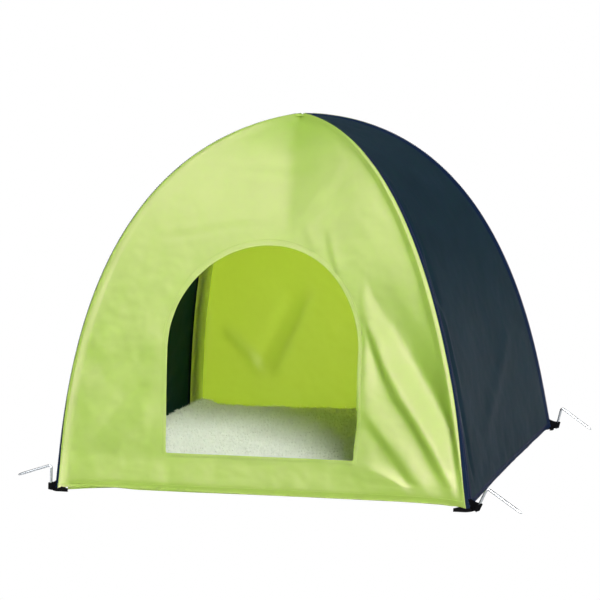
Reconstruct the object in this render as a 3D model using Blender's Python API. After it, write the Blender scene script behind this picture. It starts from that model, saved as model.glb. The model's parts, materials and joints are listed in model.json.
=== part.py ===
"""A pet tent: a four-sided dome on two crossing shock-corded poles, with an open arched door,
a plush mat, black webbing at the corners and four bent wire pegs.

Metres, +Z up, the door faces -Y, and the origin is the middle of the floor at ground level.
Each object is one closed body and one piece of the tent.
"""

import math

import bmesh
import bpy
from mathutils import Vector

# Overall size
WIDTH = 0.560  # between the side seams at the ground
DEPTH = 0.466  # between the front and back seams at the ground
HEIGHT = 0.4743  # outside of the cloth at the apex
LEAN_INSET = 0.0122  # the profile's lower Bezier handle, inside the base
LEAN_HEIGHT = 0.0593  # and over the ground
CROWN_INSET = 0.0292  # the upper handle, inside the base
CROWN_DROP = 0.0231  # and under the apex
TIP_X = 0.003  # the panel points stop this far from the middle

# Cloth
CLOTH = 0.0008  # thickness of the sewn cloth
SEAM_RADIUS = 0.0060  # outside of the cloth, round the pole in each corner
SEAM_GAP = 0.00015  # half of the gap between two panels at a seam
FLAT = 0.94  # share of a panel's half width that is flat, the rest wraps the pole
HEM_CORNER = 0.0040  # height of the hems over the ground
HEM_MIDDLE = 0.0068

# Hang of the cloth between the poles; the front panel is drawn taut round its doorway
SAG = 0.008  # of the middle of a panel, inward
TAUT_FOOT = 0.022  # the cloth is taut up to this height
HANG_FADE = 0.060  # over this width the sag grows from nothing at the foot and the apex
FOLD_FADE = 0.024  # and a fold at the seams and the foot

# Doorway
DOOR_HALF = 0.128
DOOR_SILL = 0.055
DOOR_SPRING = 0.190
DOOR_CORNER = 0.007
ARCH_FLAT = 0.006  # half of the straight piece at the top of the arch
BINDING_WIDTH = 0.0055
BINDING_WALL = 0.0005
BINDING_GAP = 0.0003

# Sleeves and poles
SLEEVE_BORE = 0.0037
SLEEVE_WALL = 0.0006
SLEEVE_FIN = 0.0048  # the seam allowance reaches this far from the middle of the pole
SLEEVE_FOOT = 0.028
SLEEVE_END_X = 0.068
POLE_RADIUS = 0.0025
POLE_BORE = 0.0013
POLE_STEP = 0.031  # spacing of the rings along a pole
CROSSING = 0.075  # half length with closer rings where the poles cross
CROSSING_STEP = 0.015
POLE_DROP = 0.0056  # the lower pole passes this far under the upper one
FERRULE_RADIUS = 0.0032
FERRULE_BORE = 0.0027
FERRULE_LENGTH = 0.036
CAP_LENGTH = 0.016
CAP_FLOOR = 0.0015
POLE_INSET = 0.006  # from the foot of a cap to the end of the pole tube
CORD_RADIUS = 0.0009
KNOT_RADIUS = 0.0019
POLE_FOOT = 0.0024
SIDES = 8  # polygon of the poles and wires

# Corner webbing
POCKET_HEIGHT = 0.0034
POCKET_REACH = 0.0085
CUP_RADIUS = 0.0044
CUP_BORE = 0.0037
CUP_TOP = 0.015
CUP_FLOOR = 0.0016
TAPE = 0.0011
TAPE_BOTTOM = 0.0012
TAPE_TOP = 0.0120
LOOP_REACH = 0.0140  # from the pole's foot to the peg
LOOP_BORE = 0.0027
LOOP_HEADING = math.radians(23)  # turned from the X axis towards the tent's end

# Pegs
PEG_RADIUS = 0.0017
PEG_BEND = 0.005
PEG_FOOT = 0.0006
PEG_TIP = 0.0013
PEGS = {  # lean of the leg (dx per dz), height of the bend, reach of the shank, height of its tip
    ("front", "left"): (-0.080, 0.0345, 0.0495, 0.0190),
    ("front", "right"): (0.500, 0.0305, 0.0420, PEG_TIP),
    ("back", "right"): (0.280, 0.0318, 0.0420, PEG_TIP),
    ("back", "left"): (0.500, 0.0305, 0.0420, PEG_TIP),
}

# Ground sheet
SHEET_SLOPE = 0.036  # width of the border that rises to the hems
SHEET_CHAMFER = 0.030
SHEET_UPSTAND = 0.008
SHEET_GAP = 0.0005

# Mat
MAT_SIDE_ROOM = 0.015  # from the seam of the mat to the foot of a side panel
MAT_END_ROOM = 0.014  # and to the foot of the front and back panels
MAT_CORNER = 0.045
MAT_ROUND = 0.016  # width of the rounded border on top
MAT_TUCK = 0.030  # and underneath
MAT_BOTTOM = 0.0014
MAT_SEAM = 0.013
MAT_TOP = 0.027
MAT_CROWN = 0.0015
COVER = 0.003
BACKING = 0.001
MAT_GAP = 0.0003

RATIO = DEPTH / WIDTH
FRONT, BACK, LEFT, RIGHT = ("end", -1), ("end", 1), ("side", -1), ("side", 1)

FOLDS = {  # height, half width, and the line from one end to the other as (a, t) of the panel
    BACK: [
        (-0.0050, 0.030, [(0.26, 0.44), (0.45, 0.275), (0.53, 0.18)]),
        (0.0050, 0.034, [(-0.08, 0.34), (-0.26, 0.45), (-0.59, 0.58)]),
        (-0.0045, 0.032, [(-0.34, 0.13), (-0.58, 0.26), (-0.81, 0.36)]),
    ],
    LEFT: [
        (0.0035, 0.034, [(0.30, 0.41), (0.57, 0.31), (0.82, 0.18)]),
        (-0.0035, 0.034, [(-0.57, 0.62), (-0.22, 0.50), (-0.05, 0.39)]),
    ],
    RIGHT: [
        (-0.0040, 0.034, [(-0.80, 0.70), (-0.82, 0.56), (-0.84, 0.36), (-0.84, 0.18)]),
        (0.0035, 0.034, [(0.69, 0.39), (0.0, 0.275), (-0.55, 0.18)]),
    ],
}

PIECES = {  # the starts of the names of the pieces of each material
    "lime_cloth": ("front_panel", "back_panel", "ground_sheet", "apex_patch"),
    "door_tape": ("door_binding",),
    "navy_cloth": ("left_panel", "right_panel", "sleeve_"),
    "black_webbing": ("pocket_", "peg_loop_"),
    "fibreglass": ("pole_a_segment_", "pole_b_segment_"),
    "ferrule_metal": ("pole_a_ferrule_", "pole_b_ferrule_"),
    "nylon_cap": ("pole_a_end_cap_", "pole_b_end_cap_"),
    "elastic_cord": ("pole_a_shock_cord", "pole_b_shock_cord"),
    "peg_wire": ("peg_front_", "peg_back_"),
    "plush": ("mat_cover",),
    "mat_wadding": ("mat_filling",),
    "mat_backing": ("mat_underside",),
}
MATERIALS = {  # linear colour, roughness, metallic
    "lime_cloth": ((0.4564, 0.6724, 0.1441), 0.5, 0.0),
    "door_tape": ((0.5457, 0.7231, 0.2016), 0.5, 0.0),
    "navy_cloth": ((0.0252, 0.0409, 0.0648), 0.6, 0.0),
    "black_webbing": ((0.0070, 0.0070, 0.0080), 0.7, 0.0),
    "fibreglass": ((0.0423, 0.0437, 0.0467), 0.4, 0.0),
    "ferrule_metal": ((0.4851, 0.4969, 0.5089), 0.35, 1.0),
    "nylon_cap": ((0.0110, 0.0110, 0.0123), 0.5, 0.0),
    "elastic_cord": ((0.6867, 0.6867, 0.6584), 0.8, 0.0),
    "peg_wire": ((0.6654, 0.6795, 0.6939), 0.3, 1.0),
    "plush": ((0.8550, 0.8714, 0.8388), 0.9, 0.0),
    "mat_wadding": ((0.7758, 0.7758, 0.7454), 0.9, 0.0),
    "mat_backing": ((0.6240, 0.6445, 0.6172), 0.8, 0.0),
}


def profile(t):
    """Outside of a side panel in the XZ plane, from the ground (t=0) to the apex (t=1)."""
    foot = WIDTH / 2
    low, high = (foot - LEAN_INSET, LEAN_HEIGHT), (foot - CROWN_INSET, HEIGHT - CROWN_DROP)
    handles = ((foot, 0.0), low, high, (0.0, HEIGHT))
    weights = ((1 - t) ** 3, 3 * t * (1 - t) ** 2, 3 * t * t * (1 - t), t**3)
    x = sum(w * h[0] for w, h in zip(weights, handles))
    z = sum(w * h[1] for w, h in zip(weights, handles))
    return x, z


def slope(t):
    """Rate of change of the profile at t."""
    step = 1e-4
    low, high = max(0.0, t - step), min(1.0, t + step)
    (x0, z0), (x1, z1) = profile(low), profile(high)
    return (x1 - x0) / (high - low), (z1 - z0) / (high - low)


def solve(function, target, low=0.0, high=1.0):
    """t at which a rising function reaches the target."""
    for _ in range(48):
        middle = (low + high) / 2
        if function(middle) < target:
            low = middle
        else:
            high = middle
    return (low + high) / 2


def corner(t, sx, sy):
    """Middle of the pole in one corner, the two panels' outward normals and the seam's."""
    x, z = profile(t)
    dx, dz = slope(t)
    side = Vector((sx * dz, 0, -dx)).normalized()
    end = Vector((0, sy * dz, -RATIO * dx)).normalized()
    sharp = Vector((sx * x, sy * RATIO * x, z))
    middle = sharp - SEAM_RADIUS * (side + end) / (1 + side.dot(end))
    return middle, side, end, (side + end).normalized()


def taut_point(face, a, t, depth=0.0):
    """A point of a taut panel: a runs from seam to seam, t from ground to apex, depth inward."""
    axis, sign = face
    other = 1 if a >= 0 else -1
    sx, sy = (sign, other) if axis == "side" else (other, sign)
    middle, side, end, seam = corner(t, sx, sy)
    normal = side if axis == "side" else end
    radius = SEAM_RADIUS - depth
    if abs(a) <= FLAT:
        point = middle + radius * normal
        along = 1 if axis == "side" else 0
        point[along] *= abs(a) / FLAT
        return point
    share = (abs(a) - FLAT) / (1 - FLAT)
    point = middle + radius * normal.lerp(seam, share).normalized()
    away = Vector((sx * RATIO, -sy, 0)) if axis == "side" else Vector((-sx * RATIO, sy, 0))
    return point + share * SEAM_GAP * away.normalized()


def ease(x):
    """Smooth step from 0 to 1."""
    x = min(max(x, 0.0), 1.0)
    return x * x * (3 - 2 * x)


def line_distance(point, line):
    """Distance from a line of points, and the share of its length at the nearest place."""
    lengths = [(q - p).length for p, q in zip(line, line[1:])]
    best, done = (1e9, 0.0), 0.0
    for p, q, length in zip(line, line[1:], lengths):
        s = min(max((point - p).dot(q - p) / length**2, 0.0), 1.0)
        best = min(best, ((point - p.lerp(q, s)).length, (done + s * length) / sum(lengths)))
        done += length
    return best


def hang(face, a, t):
    """How far the hanging cloth stands outside its taut place."""
    if face not in FOLDS or abs(a) >= FLAT:
        return 0.0
    point = taut_point(face, a, t)
    to_seam = (point - taut_point(face, math.copysign(FLAT, a), t)).length
    sag = SAG * (1 - (a / FLAT) ** 2) * ease((point.z - TAUT_FOOT) / HANG_FADE)
    sag *= ease((HEIGHT - point.z) / HANG_FADE)
    room = min(to_seam, point.z - TAUT_FOOT)
    fold = 0.0
    for height, half_width, line in FOLD_LINES[face]:
        away, share = line_distance(point, line)
        fade = ease(share / 0.2) * ease((1 - share) / 0.2)
        fold += height * fade * math.exp(-((away / half_width) ** 2))
    return fold * ease(room / FOLD_FADE) - sag


def panel_point(face, a, t, depth=0.0):
    """A point of the hanging panel."""
    axis, sign = face
    dx, dz = slope(t)
    normal = Vector((sign * dz, 0, -dx)) if axis == "side" else Vector((0, sign * dz, -RATIO * dx))
    return taut_point(face, a, t, depth) + hang(face, a, t) * normal.normalized()


def flat_height(face, t):
    return taut_point(face, 0.0, t).z


T_TIP = solve(lambda t: -profile(t)[0], -TIP_X)
FOLD_LINES = {
    face: [(height, half, [taut_point(face, a * FLAT, t) for a, t in line]) for height, half, line in folds]
    for face, folds in FOLDS.items()
}


def hem_height(face, a):
    rise = HEM_MIDDLE - HEM_CORNER if face[0] == "end" else 0.0
    return HEM_CORNER + rise * (1 - a**4)


def hem_t(face, a):
    """t at which the hem lies on the panel at a."""
    return solve(lambda t: taut_point(face, a, t).z, hem_height(face, a))


def body(name, points, faces):
    """One closed object from points and faces, its normals turned outward."""
    mesh = bpy.data.meshes.new(name)
    mesh.from_pydata([tuple(p) for p in points], [], faces)
    shape = bmesh.new()
    shape.from_mesh(mesh)
    bmesh.ops.recalc_face_normals(shape, faces=shape.faces)
    bmesh.ops.triangulate(shape, faces=shape.faces)
    shape.to_mesh(mesh)
    shape.free()
    mesh.shade_smooth()
    mesh.set_sharp_from_angle(angle=math.radians(35))
    made = bpy.data.objects.new(name, mesh)
    bpy.context.scene.collection.objects.link(made)
    return made


def wire(name, points, radii, resolution):
    """Round wire or cord along points, as a bevelled curve with closed ends."""
    curve = bpy.data.curves.new(name, "CURVE")
    curve.dimensions = "3D"
    curve.bevel_depth = max(radii)
    curve.bevel_resolution = resolution
    curve.use_fill_caps = True
    spline = curve.splines.new("POLY")
    spline.points.add(len(points) - 1)
    for spot, point, radius in zip(spline.points, points, radii):
        spot.co = (*point, 1)
        spot.radius = radius / curve.bevel_depth
    made = bpy.data.objects.new(name, curve)
    bpy.context.scene.collection.objects.link(made)
    return made


def grid_faces(rows, columns, start, wrap):
    """Quads of a grid of points numbered from start, row by row."""
    faces = []
    for r in range(rows - 1):
        for c in range(columns if wrap else columns - 1):
            d = (c + 1) % columns
            faces.append(
                (
                    start + r * columns + c,
                    start + r * columns + d,
                    start + (r + 1) * columns + d,
                    start + (r + 1) * columns + c,
                )
            )
    return faces


def thick(name, outer, inner, wrap=False):
    """A closed body between two grids of points; wrap joins the last column to the first."""
    rows, columns = len(outer), len(outer[0])
    points = [p for row in outer for p in row] + [p for row in inner for p in row]
    back = rows * columns
    faces = grid_faces(rows, columns, 0, wrap)
    faces += [f[::-1] for f in grid_faces(rows, columns, back, wrap)]
    for c in range(columns if wrap else columns - 1):
        d = (c + 1) % columns
        for r in (0, rows - 1):
            i, j = r * columns + c, r * columns + d
            faces.append((i, j, back + j, back + i) if r else (j, i, back + i, back + j))
    if not wrap:
        for r in range(rows - 1):
            for c in (0, columns - 1):
                i, j = r * columns + c, (r + 1) * columns + c
                faces.append((j, i, back + i, back + j) if c else (i, j, back + j, back + i))
    return body(name, points, faces)


def rod(name, rings):
    """A closed body through rings of points, capped at both ends."""
    count = len(rings[0])
    points = [p for ring in rings for p in ring]
    faces = grid_faces(len(rings), count, 0, True)
    faces.append(tuple(reversed(range(count))))
    faces.append(tuple(range(len(points) - count, len(points))))
    return body(name, points, faces)


def hoop(name, rings):
    """A closed body through rings of points, the last ring joined to the first."""
    count = len(rings[0])
    points = [p for ring in rings for p in ring]
    faces = grid_faces(len(rings), count, 0, True)
    last = (len(rings) - 1) * count
    for c in range(count):
        d = (c + 1) % count
        faces.append((last + c, last + d, d, c))
    return body(name, points, faces)


def circle(middle, u, v, radius, count=SIDES, turn=0.0):
    """Points round a middle in the plane of u and v."""
    angles = [turn + 2 * math.pi * i / count for i in range(count)]
    return [middle + radius * (math.cos(a) * u + math.sin(a) * v) for a in angles]


def plain_panel(name, face, rows, columns):
    """A panel without an opening, as rows of points from the hem to the apex."""
    wrap = [FLAT, (1 + FLAT) / 2, 1]
    across = [FLAT * (2 * i / columns - 1) for i in range(1, columns)]
    across = [-a for a in reversed(wrap)] + across + wrap
    grids = []
    for depth in (0.0, CLOTH):
        grid = []
        for r in range(rows + 1):
            share = r / rows
            row = []
            for a in across:
                low = hem_t(face, a)
                row.append(panel_point(face, a, low + (T_TIP - low) * share, depth))
            grid.append(row)
        grids.append(grid)
    return thick(name, *grids)


def door_outline(face, sides=22, sill=14):
    """(x, z) round the doorway: sill to the right, up, over the arch and down the left."""
    straight = DOOR_SPRING - DOOR_SILL - DOOR_CORNER
    arch = DOOR_HALF * math.pi / 2
    rise = []
    for i in range(sides + 1):
        s = (straight + arch) * i / sides
        if s <= straight:
            rise.append((DOOR_HALF, DOOR_SILL + DOOR_CORNER + s))
        else:
            a = (s - straight) / DOOR_HALF
            rise.append((DOOR_HALF * math.cos(a), DOOR_SPRING + DOOR_HALF * math.sin(a)))
    rise[-1] = (ARCH_FLAT, rise[-1][1])
    flat = DOOR_HALF - DOOR_CORNER
    bottom = [(-flat + 2 * flat * i / sill, DOOR_SILL) for i in range(sill + 1)]
    bend = DOOR_CORNER * (1 - math.sqrt(0.5))
    right = [(DOOR_HALF - bend, DOOR_SILL + bend)] + rise
    left = [(-x, z) for x, z in reversed(right)]
    return bottom + right + [(0.0, DOOR_SPRING + DOOR_HALF)] + left


def to_panel(face, x, z):
    """Panel coordinates (a, t) of a point given by its x and height on the taut panel."""
    t = solve(lambda t: flat_height(face, t), z)
    return FLAT * x / taut_point(face, FLAT, t).x, t


def frame_outline(face, inset, sides=22, sill=14):
    """Panel coordinates round the whole panel, matched point by point to the door outline."""
    half = 1 - inset * (1 - FLAT) / 2
    lift = inset * 0.006
    turn = FLAT if inset < 2 else FLAT - 0.02
    inner = [-0.82 + 1.64 * i / (sill - 6) for i in range(sill - 5)]
    bottom = [-half, -(half + turn) / 2, -turn] + inner + [turn, (half + turn) / 2, half]
    points = [(a, hem_t(face, a) + lift) for a in bottom]
    low = points[-1][1]
    top = T_TIP - inset * 0.010
    rise = [(half, low + (top - low) * (i + 1) / (sides + 1)) for i in range(sides + 1)]
    extra = (half, low + (top - low) * 0.4 / (sides + 1))
    right = [extra] + rise
    left = [(-a, t) for a, t in reversed(right)]
    return points + right + [(0.0, top)] + left


def door_panel(name, face, steps=5):
    """The panel with the doorway: rings of points from the doorway out to the seams and hem."""
    door = [to_panel(face, x, z) for x, z in door_outline(face)]
    edge = frame_outline(face, 2)
    rings = []
    for k in range(steps):
        share = (k / steps) ** 1.15
        rings.append(
            [
                (d[0] + (e[0] - d[0]) * share, d[1] + (e[1] - d[1]) * share)
                for d, e in zip(door, edge)
            ]
        )
    rings += [edge, frame_outline(face, 1), frame_outline(face, 0)]
    grids = [
        [[panel_point(face, a, t, depth) for a, t in ring] for ring in rings]
        for depth in (0.0, CLOTH)
    ]
    return thick(name, *grids, wrap=True)


def door_binding(name, face):
    """Tape folded round the edge of the doorway, outside and inside of the panel."""
    loop = [to_panel(face, x, z) for x, z in door_outline(face)]
    edge = [taut_point(face, a, t) for a, t in loop]
    near, far = -BINDING_GAP - BINDING_WALL, BINDING_WIDTH
    out, skin = BINDING_GAP, BINDING_GAP + BINDING_WALL
    section = [
        (near, skin),
        (far, skin),
        (far, out),
        (-BINDING_GAP, out),
        (-BINDING_GAP, -CLOTH - out),
        (far, -CLOTH - out),
        (far, -CLOTH - skin),
        (near, -CLOTH - skin),
    ]
    rings = []
    count = len(edge)
    for i, point in enumerate(edge):
        along = (edge[(i + 1) % count] - edge[i - 1]).normalized()
        normal = corner(loop[i][1], 1, face[1])[2]
        outward = along.cross(normal).normalized()
        if outward.dot(point - Vector((0, point.y, DOOR_SPRING))) < 0:
            outward.negate()
        ring = []
        for reach, lift in section:
            spot = point + reach * outward
            ring.append(panel_point(face, *to_panel(face, spot.x, spot.z), -lift))
        rings.append(ring)
    return hoop(name, rings)


def pole_line(sy, lower):
    """Middle of a pole from one foot over the apex to the other, as closely spaced points."""
    reach, crown = 0.020, profile(0.999)
    pitch = (HEIGHT - crown[1]) / crown[0]
    halves = []
    for sx in (-1, 1):
        half = []
        for i in range(361):
            t = i / 360
            point = corner(t, sx, sx * sy)[0]
            across = abs(point.x)
            point.z -= pitch * reach * math.exp(-across / reach)
            if lower:
                point.z -= POLE_DROP * math.exp(-((across / 0.042) ** 2))
            if point.z > POLE_FOOT and point.x * sx > 1e-4:
                half.append(point)
        halves.append(half)
    line = halves[0] + list(reversed(halves[1]))
    lengths = [0.0]
    for a, b in zip(line, line[1:]):
        lengths.append(lengths[-1] + (b - a).length)
    return line, lengths


def at_length(line, lengths, s):
    """Point of a line at the length s along it."""
    s = min(max(s, 0.0), lengths[-1])
    low, high = 0, len(lengths) - 1
    while high - low > 1:
        middle = (low + high) // 2
        if lengths[middle] <= s:
            low = middle
        else:
            high = middle
    share = (s - lengths[low]) / (lengths[high] - lengths[low])
    return line[low].lerp(line[high], share)


def pole_rings(path, plane, stations):
    """Rings round the pole's line at (length, radius) stations."""
    line, lengths = path
    rings = []
    for s, radius in stations:
        ahead = at_length(line, lengths, s + 0.004)
        behind = at_length(line, lengths, s - 0.004)
        tangent = (ahead - behind).normalized()
        rings.append(circle(at_length(line, lengths, s), plane, tangent.cross(plane), radius))
    return rings


def pole_marks(total, fixed):
    """Lengths along a pole at which all of its pieces have rings, closer at the apex."""
    marks, s = [], total / 2
    while s < total:
        marks.append(s)
        s += POLE_STEP if s > total / 2 + CROSSING else CROSSING_STEP
    marks = {total - m for m in marks} | set(marks)
    marks = {m for m in marks if all(abs(m - f) > 0.006 for f in fixed)}
    return sorted(marks | set(fixed))


def between(marks, start, end):
    """The marks from start to end, with both ends."""
    return [start] + [m for m in marks if start + 0.0005 < m < end - 0.0005] + [end]


def pole(letter, sy, lower):
    """The tube segments, ferrules, end caps and shock cord of one pole."""
    path = pole_line(sy, lower)
    total = path[1][-1]
    plane = Vector((RATIO, -sy, 0)).normalized()
    joints = [POLE_INSET, total / 3, 2 * total / 3, total - POLE_INSET]
    half = FERRULE_LENGTH / 2
    fixed = [j + d for j in joints[1:3] for d in (-half, 0, half)]
    marks = pole_marks(total, fixed + [0.012, CAP_LENGTH, total - CAP_LENGTH, total - 0.012])
    for i in range(3):
        start = joints[i] + (0.00015 if i else 0)
        end = joints[i + 1] - (0.00015 if i < 2 else 0)
        lengths = between(marks, start, end)
        outer = pole_rings(path, plane, [(s, POLE_RADIUS) for s in lengths])
        inner = pole_rings(path, plane, [(s, POLE_BORE) for s in lengths])
        thick(f"pole_{letter}_segment_{i + 1}", outer, inner, wrap=True)
    for i in (1, 2):
        lengths = between(marks, joints[i] - half, joints[i] + half)
        outer = pole_rings(path, plane, [(s, FERRULE_RADIUS) for s in lengths])
        inner = pole_rings(path, plane, [(s, FERRULE_BORE) for s in lengths])
        thick(f"pole_{letter}_ferrule_{i}", outer, inner, wrap=True)
    for i, end in enumerate((0.0, total)):
        way = 1 if i == 0 else -1
        steps = [
            (0.0, FERRULE_RADIUS * 0.7),
            (0.001, FERRULE_RADIUS),
            (CAP_LENGTH, FERRULE_RADIUS),
            (CAP_LENGTH, FERRULE_BORE),
            (CAP_FLOOR, FERRULE_BORE),
        ]
        rings = pole_rings(path, plane, [(end + way * s, r) for s, r in steps])
        rod(f"pole_{letter}_end_cap_{i + 1}", rings)
    knot = [(CAP_FLOOR + 0.0006, KNOT_RADIUS * 0.6), (CAP_FLOOR + 0.0014, KNOT_RADIUS)]
    knot += [(CAP_FLOOR + 0.0028, KNOT_RADIUS), (CAP_FLOOR + 0.0036, CORD_RADIUS)]
    inside = [(s, CORD_RADIUS) for s in between(marks, 0.012, total - 0.012)]
    stations = knot + inside + [(total - s, r) for s, r in reversed(knot)]
    points = [at_length(*path, s) for s, _ in stations]
    wire(f"pole_{letter}_shock_cord", points, [r for _, r in stations], 1)


def sleeve(name, sx, sy, rows=18):
    """Cloth tube sewn into a corner seam, with its seam allowance as a fin."""
    outside = SLEEVE_BORE + SLEEVE_WALL
    section = [(-9, outside), (-5, SLEEVE_FIN), (5, SLEEVE_FIN), (9, outside)]
    section += [(a, outside) for a in range(38, 330, 40)]
    foot = solve(lambda t: corner(t, sx, sy)[0].z, SLEEVE_FOOT)
    head = solve(lambda t: -profile(t)[0], -SLEEVE_END_X)
    grids = ([], [])
    for r in range(rows + 1):
        t = foot + (head - foot) * r / rows
        middle, _, _, seam = corner(t, sx, sy)
        tangent = (corner(t + 0.002, sx, sy)[0] - corner(t - 0.002, sx, sy)[0]).normalized()
        u = (seam - seam.dot(tangent) * tangent).normalized()
        v = tangent.cross(u)
        for grid, bore in zip(grids, (False, True)):
            row = []
            for angle, radius in section:
                a = math.radians(angle)
                r_here = SLEEVE_BORE if bore else radius
                row.append(middle + r_here * (math.cos(a) * u + math.sin(a) * v))
            grid.append(row)
    thick(name, *grids, wrap=True)


def foot_point(sx, sy, z):
    """Middle of the pole in a corner at a height near the ground."""
    t = solve(lambda t: corner(t, sx, sy)[0].z, z, -0.05)
    return corner(t, sx, sy)[0]


def loop_heading(sx, sy):
    return Vector((sx * math.cos(LOOP_HEADING), sy * math.sin(LOOP_HEADING), 0))


def peg_place(sx, sy):
    """Where a peg's leg passes the lower edge of its loop, at height 0."""
    point = foot_point(sx, sy, 0.006) + loop_heading(sx, sy) * LOOP_REACH
    point.z = 0
    return point


def corner_pocket(name, sx, sy):
    """Webbing cup that takes the pole's end, with tails that run out under the two hems."""
    foot = foot_point(sx, sy, 0.0)
    hem = SEAM_RADIUS - CLOTH / 2
    ox, oy = sx * hem, sy * hem
    outline = [
        (sx * 0.0048, -sy * 0.0115),
        (ox + sx * 0.0010, -sy * 0.0115),
        (sx * 0.0080, -sy * 0.0040),
        (sx * 0.0078, sy * 0.0006),
        (sx * 0.0068, sy * 0.0040),
        (sx * 0.0050, sy * 0.0060),
        (sx * 0.0020, sy * 0.0078),
        (-sx * 0.0050, sy * 0.0080),
        (-sx * 0.0130, sy * 0.0074),
        (-sx * 0.0190, oy + sy * 0.0007),
        (-sx * 0.0190, sy * 0.0048),
        (-sx * 0.0120, sy * 0.0046),
        (-sx * 0.0048, sy * 0.0044),
        (-sx * 0.0050, sy * 0.0010),
        (-sx * 0.0044, -sy * 0.0030),
        (sx * 0.0006, -sy * 0.0052),
    ]
    start = [foot + Vector((x, y, 0)) for x, y in outline]
    angles = [math.atan2(y, x) for x, y in outline]
    rings = [[p.copy() for p in start], [p + Vector((0, 0, POCKET_HEIGHT)) for p in start]]
    levels = [
        (POCKET_HEIGHT + 0.0002, CUP_RADIUS),
        (CUP_TOP, CUP_RADIUS),
        (CUP_TOP, CUP_BORE),
        (CUP_FLOOR, CUP_BORE),
    ]
    for z, radius in levels:
        middle = foot_point(sx, sy, z)
        ring = [Vector((math.cos(a), math.sin(a), 0)) * radius + middle for a in angles]
        rings.append(ring)
    rod(name, rings)


def peg_loop(name, sx, sy, lean):
    """A loop of webbing tape standing on edge and leaning with its peg."""
    heading = loop_heading(sx, sy)
    across = Vector((-heading.y, heading.x, 0))
    middle = peg_place(sx, sy)
    legs = LOOP_REACH - POCKET_REACH - 0.0012
    grids = []
    for radius in (LOOP_BORE + TAPE, LOOP_BORE):
        line = [(across * radius - heading * legs * (1 - s), s) for s in (0, 0.5)]
        for i in range(9):
            a = math.pi * i / 8
            line.append((radius * (math.sin(a) * heading + math.cos(a) * across), 1))
        line += [(-across * radius - heading * legs * (1 - s), s) for s in (0.5, 0)]
        rows = []
        for z in (TAPE_BOTTOM, TAPE_TOP):
            shift = Vector((sx * lean * (z - TAPE_BOTTOM), 0, 0))
            rows.append([middle + p + shift * s + Vector((0, 0, z)) for p, s in line])
        grids.append(rows)
    thick(name, *grids)


def peg(name, foot, bend, tip):
    """Bent wire: a leg down through the loop and a shank that slopes away from the tent."""
    foot, bend, tip = Vector(foot), Vector(bend), Vector(tip)
    up, out = (bend - foot).normalized(), (tip - bend).normalized()
    start, end = bend - PEG_BEND * up, bend + PEG_BEND * out
    line = [foot, foot + 0.0008 * up]
    line += [start.lerp(bend, s).lerp(bend.lerp(end, s), s) for s in (0, 0.2, 0.4, 0.6, 0.8, 1)]
    line += [tip - 0.005 * out, tip]
    radii = [PEG_RADIUS] * len(line)
    radii[0], radii[-1] = 0.75 * PEG_RADIUS, 0.4 * PEG_RADIUS
    made = wire(name, [p - foot for p in line], radii, 2)
    made.location = foot
    return made


def rounded(half_x, half_y, radius, arc=4):
    """(x, y) round a rounded rectangle, with one point in the middle of each side."""
    sides = ((0, half_y), (-half_x, 0), (0, -half_y), (half_x, 0))
    points = []
    for q, side in enumerate(sides):
        cx = (half_x - radius) * (1 if q in (0, 3) else -1)
        cy = (half_y - radius) * (1 if q in (0, 1) else -1)
        for i in range(arc + 1):
            a = math.pi / 2 * (q + i / arc)
            points.append((cx + radius * math.cos(a), cy + radius * math.sin(a)))
        points.append(side)
    return points


def mat_ring(inset, z):
    half_x, half_y = WIDTH / 2 - MAT_SIDE_ROOM, DEPTH / 2 - MAT_END_ROOM
    outline = rounded(half_x - inset, half_y - inset, max(MAT_CORNER - inset, 0.012))
    return [Vector((x, y, z)) for x, y in outline]


def mat_top(depth=0.0, rows=4):
    """Rings over the top of the mat from the seam to its middle, depth inside the skin."""
    rings = []
    for i in range(rows + 1):
        a = math.pi / 2 * i / rows
        inset = depth + (MAT_ROUND - depth) * (1 - math.cos(a))
        rings.append(mat_ring(inset, MAT_SEAM + (MAT_TOP - depth - MAT_SEAM) * math.sin(a)))
    rings.append(mat_ring(0.060, MAT_TOP - depth + MAT_CROWN * 0.6))
    rings.append(mat_ring(0.130, MAT_TOP - depth + MAT_CROWN))
    return rings


def mat_base(depth=0.0, rows=4):
    """Rings under the mat from the seam to its flat underside, depth inside the skin."""
    rings = []
    for i in range(rows + 1):
        a = math.pi / 2 * i / rows
        inset = depth + (MAT_TUCK - depth) * (1 - math.cos(a))
        low = MAT_SEAM - (MAT_SEAM - MAT_BOTTOM - depth) * math.sin(a)
        rings.append(mat_ring(inset, low))
    return rings


def shell(name, outer, inner, offset):
    """A skin between two sets of rings that both end in a closed cap."""
    outer = [[p + Vector((0, 0, offset)) for p in ring] for ring in outer]
    inner = [[p + Vector((0, 0, offset)) for p in ring] for ring in inner]
    return rod(name, list(reversed(outer)) + inner)


def mat():
    """Plush cover and woven underside, sewn together at the rim, round one filling."""
    shell("mat_cover", mat_top(), mat_top(COVER), MAT_GAP / 2)
    shell("mat_underside", mat_base(), mat_base(BACKING), -MAT_GAP / 2)
    base = mat_base(BACKING + MAT_GAP)
    seam = mat_ring(COVER + MAT_GAP, MAT_SEAM - MAT_GAP)
    rod("mat_filling", base[:0:-1] + [seam] + mat_top(COVER + MAT_GAP))


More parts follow.
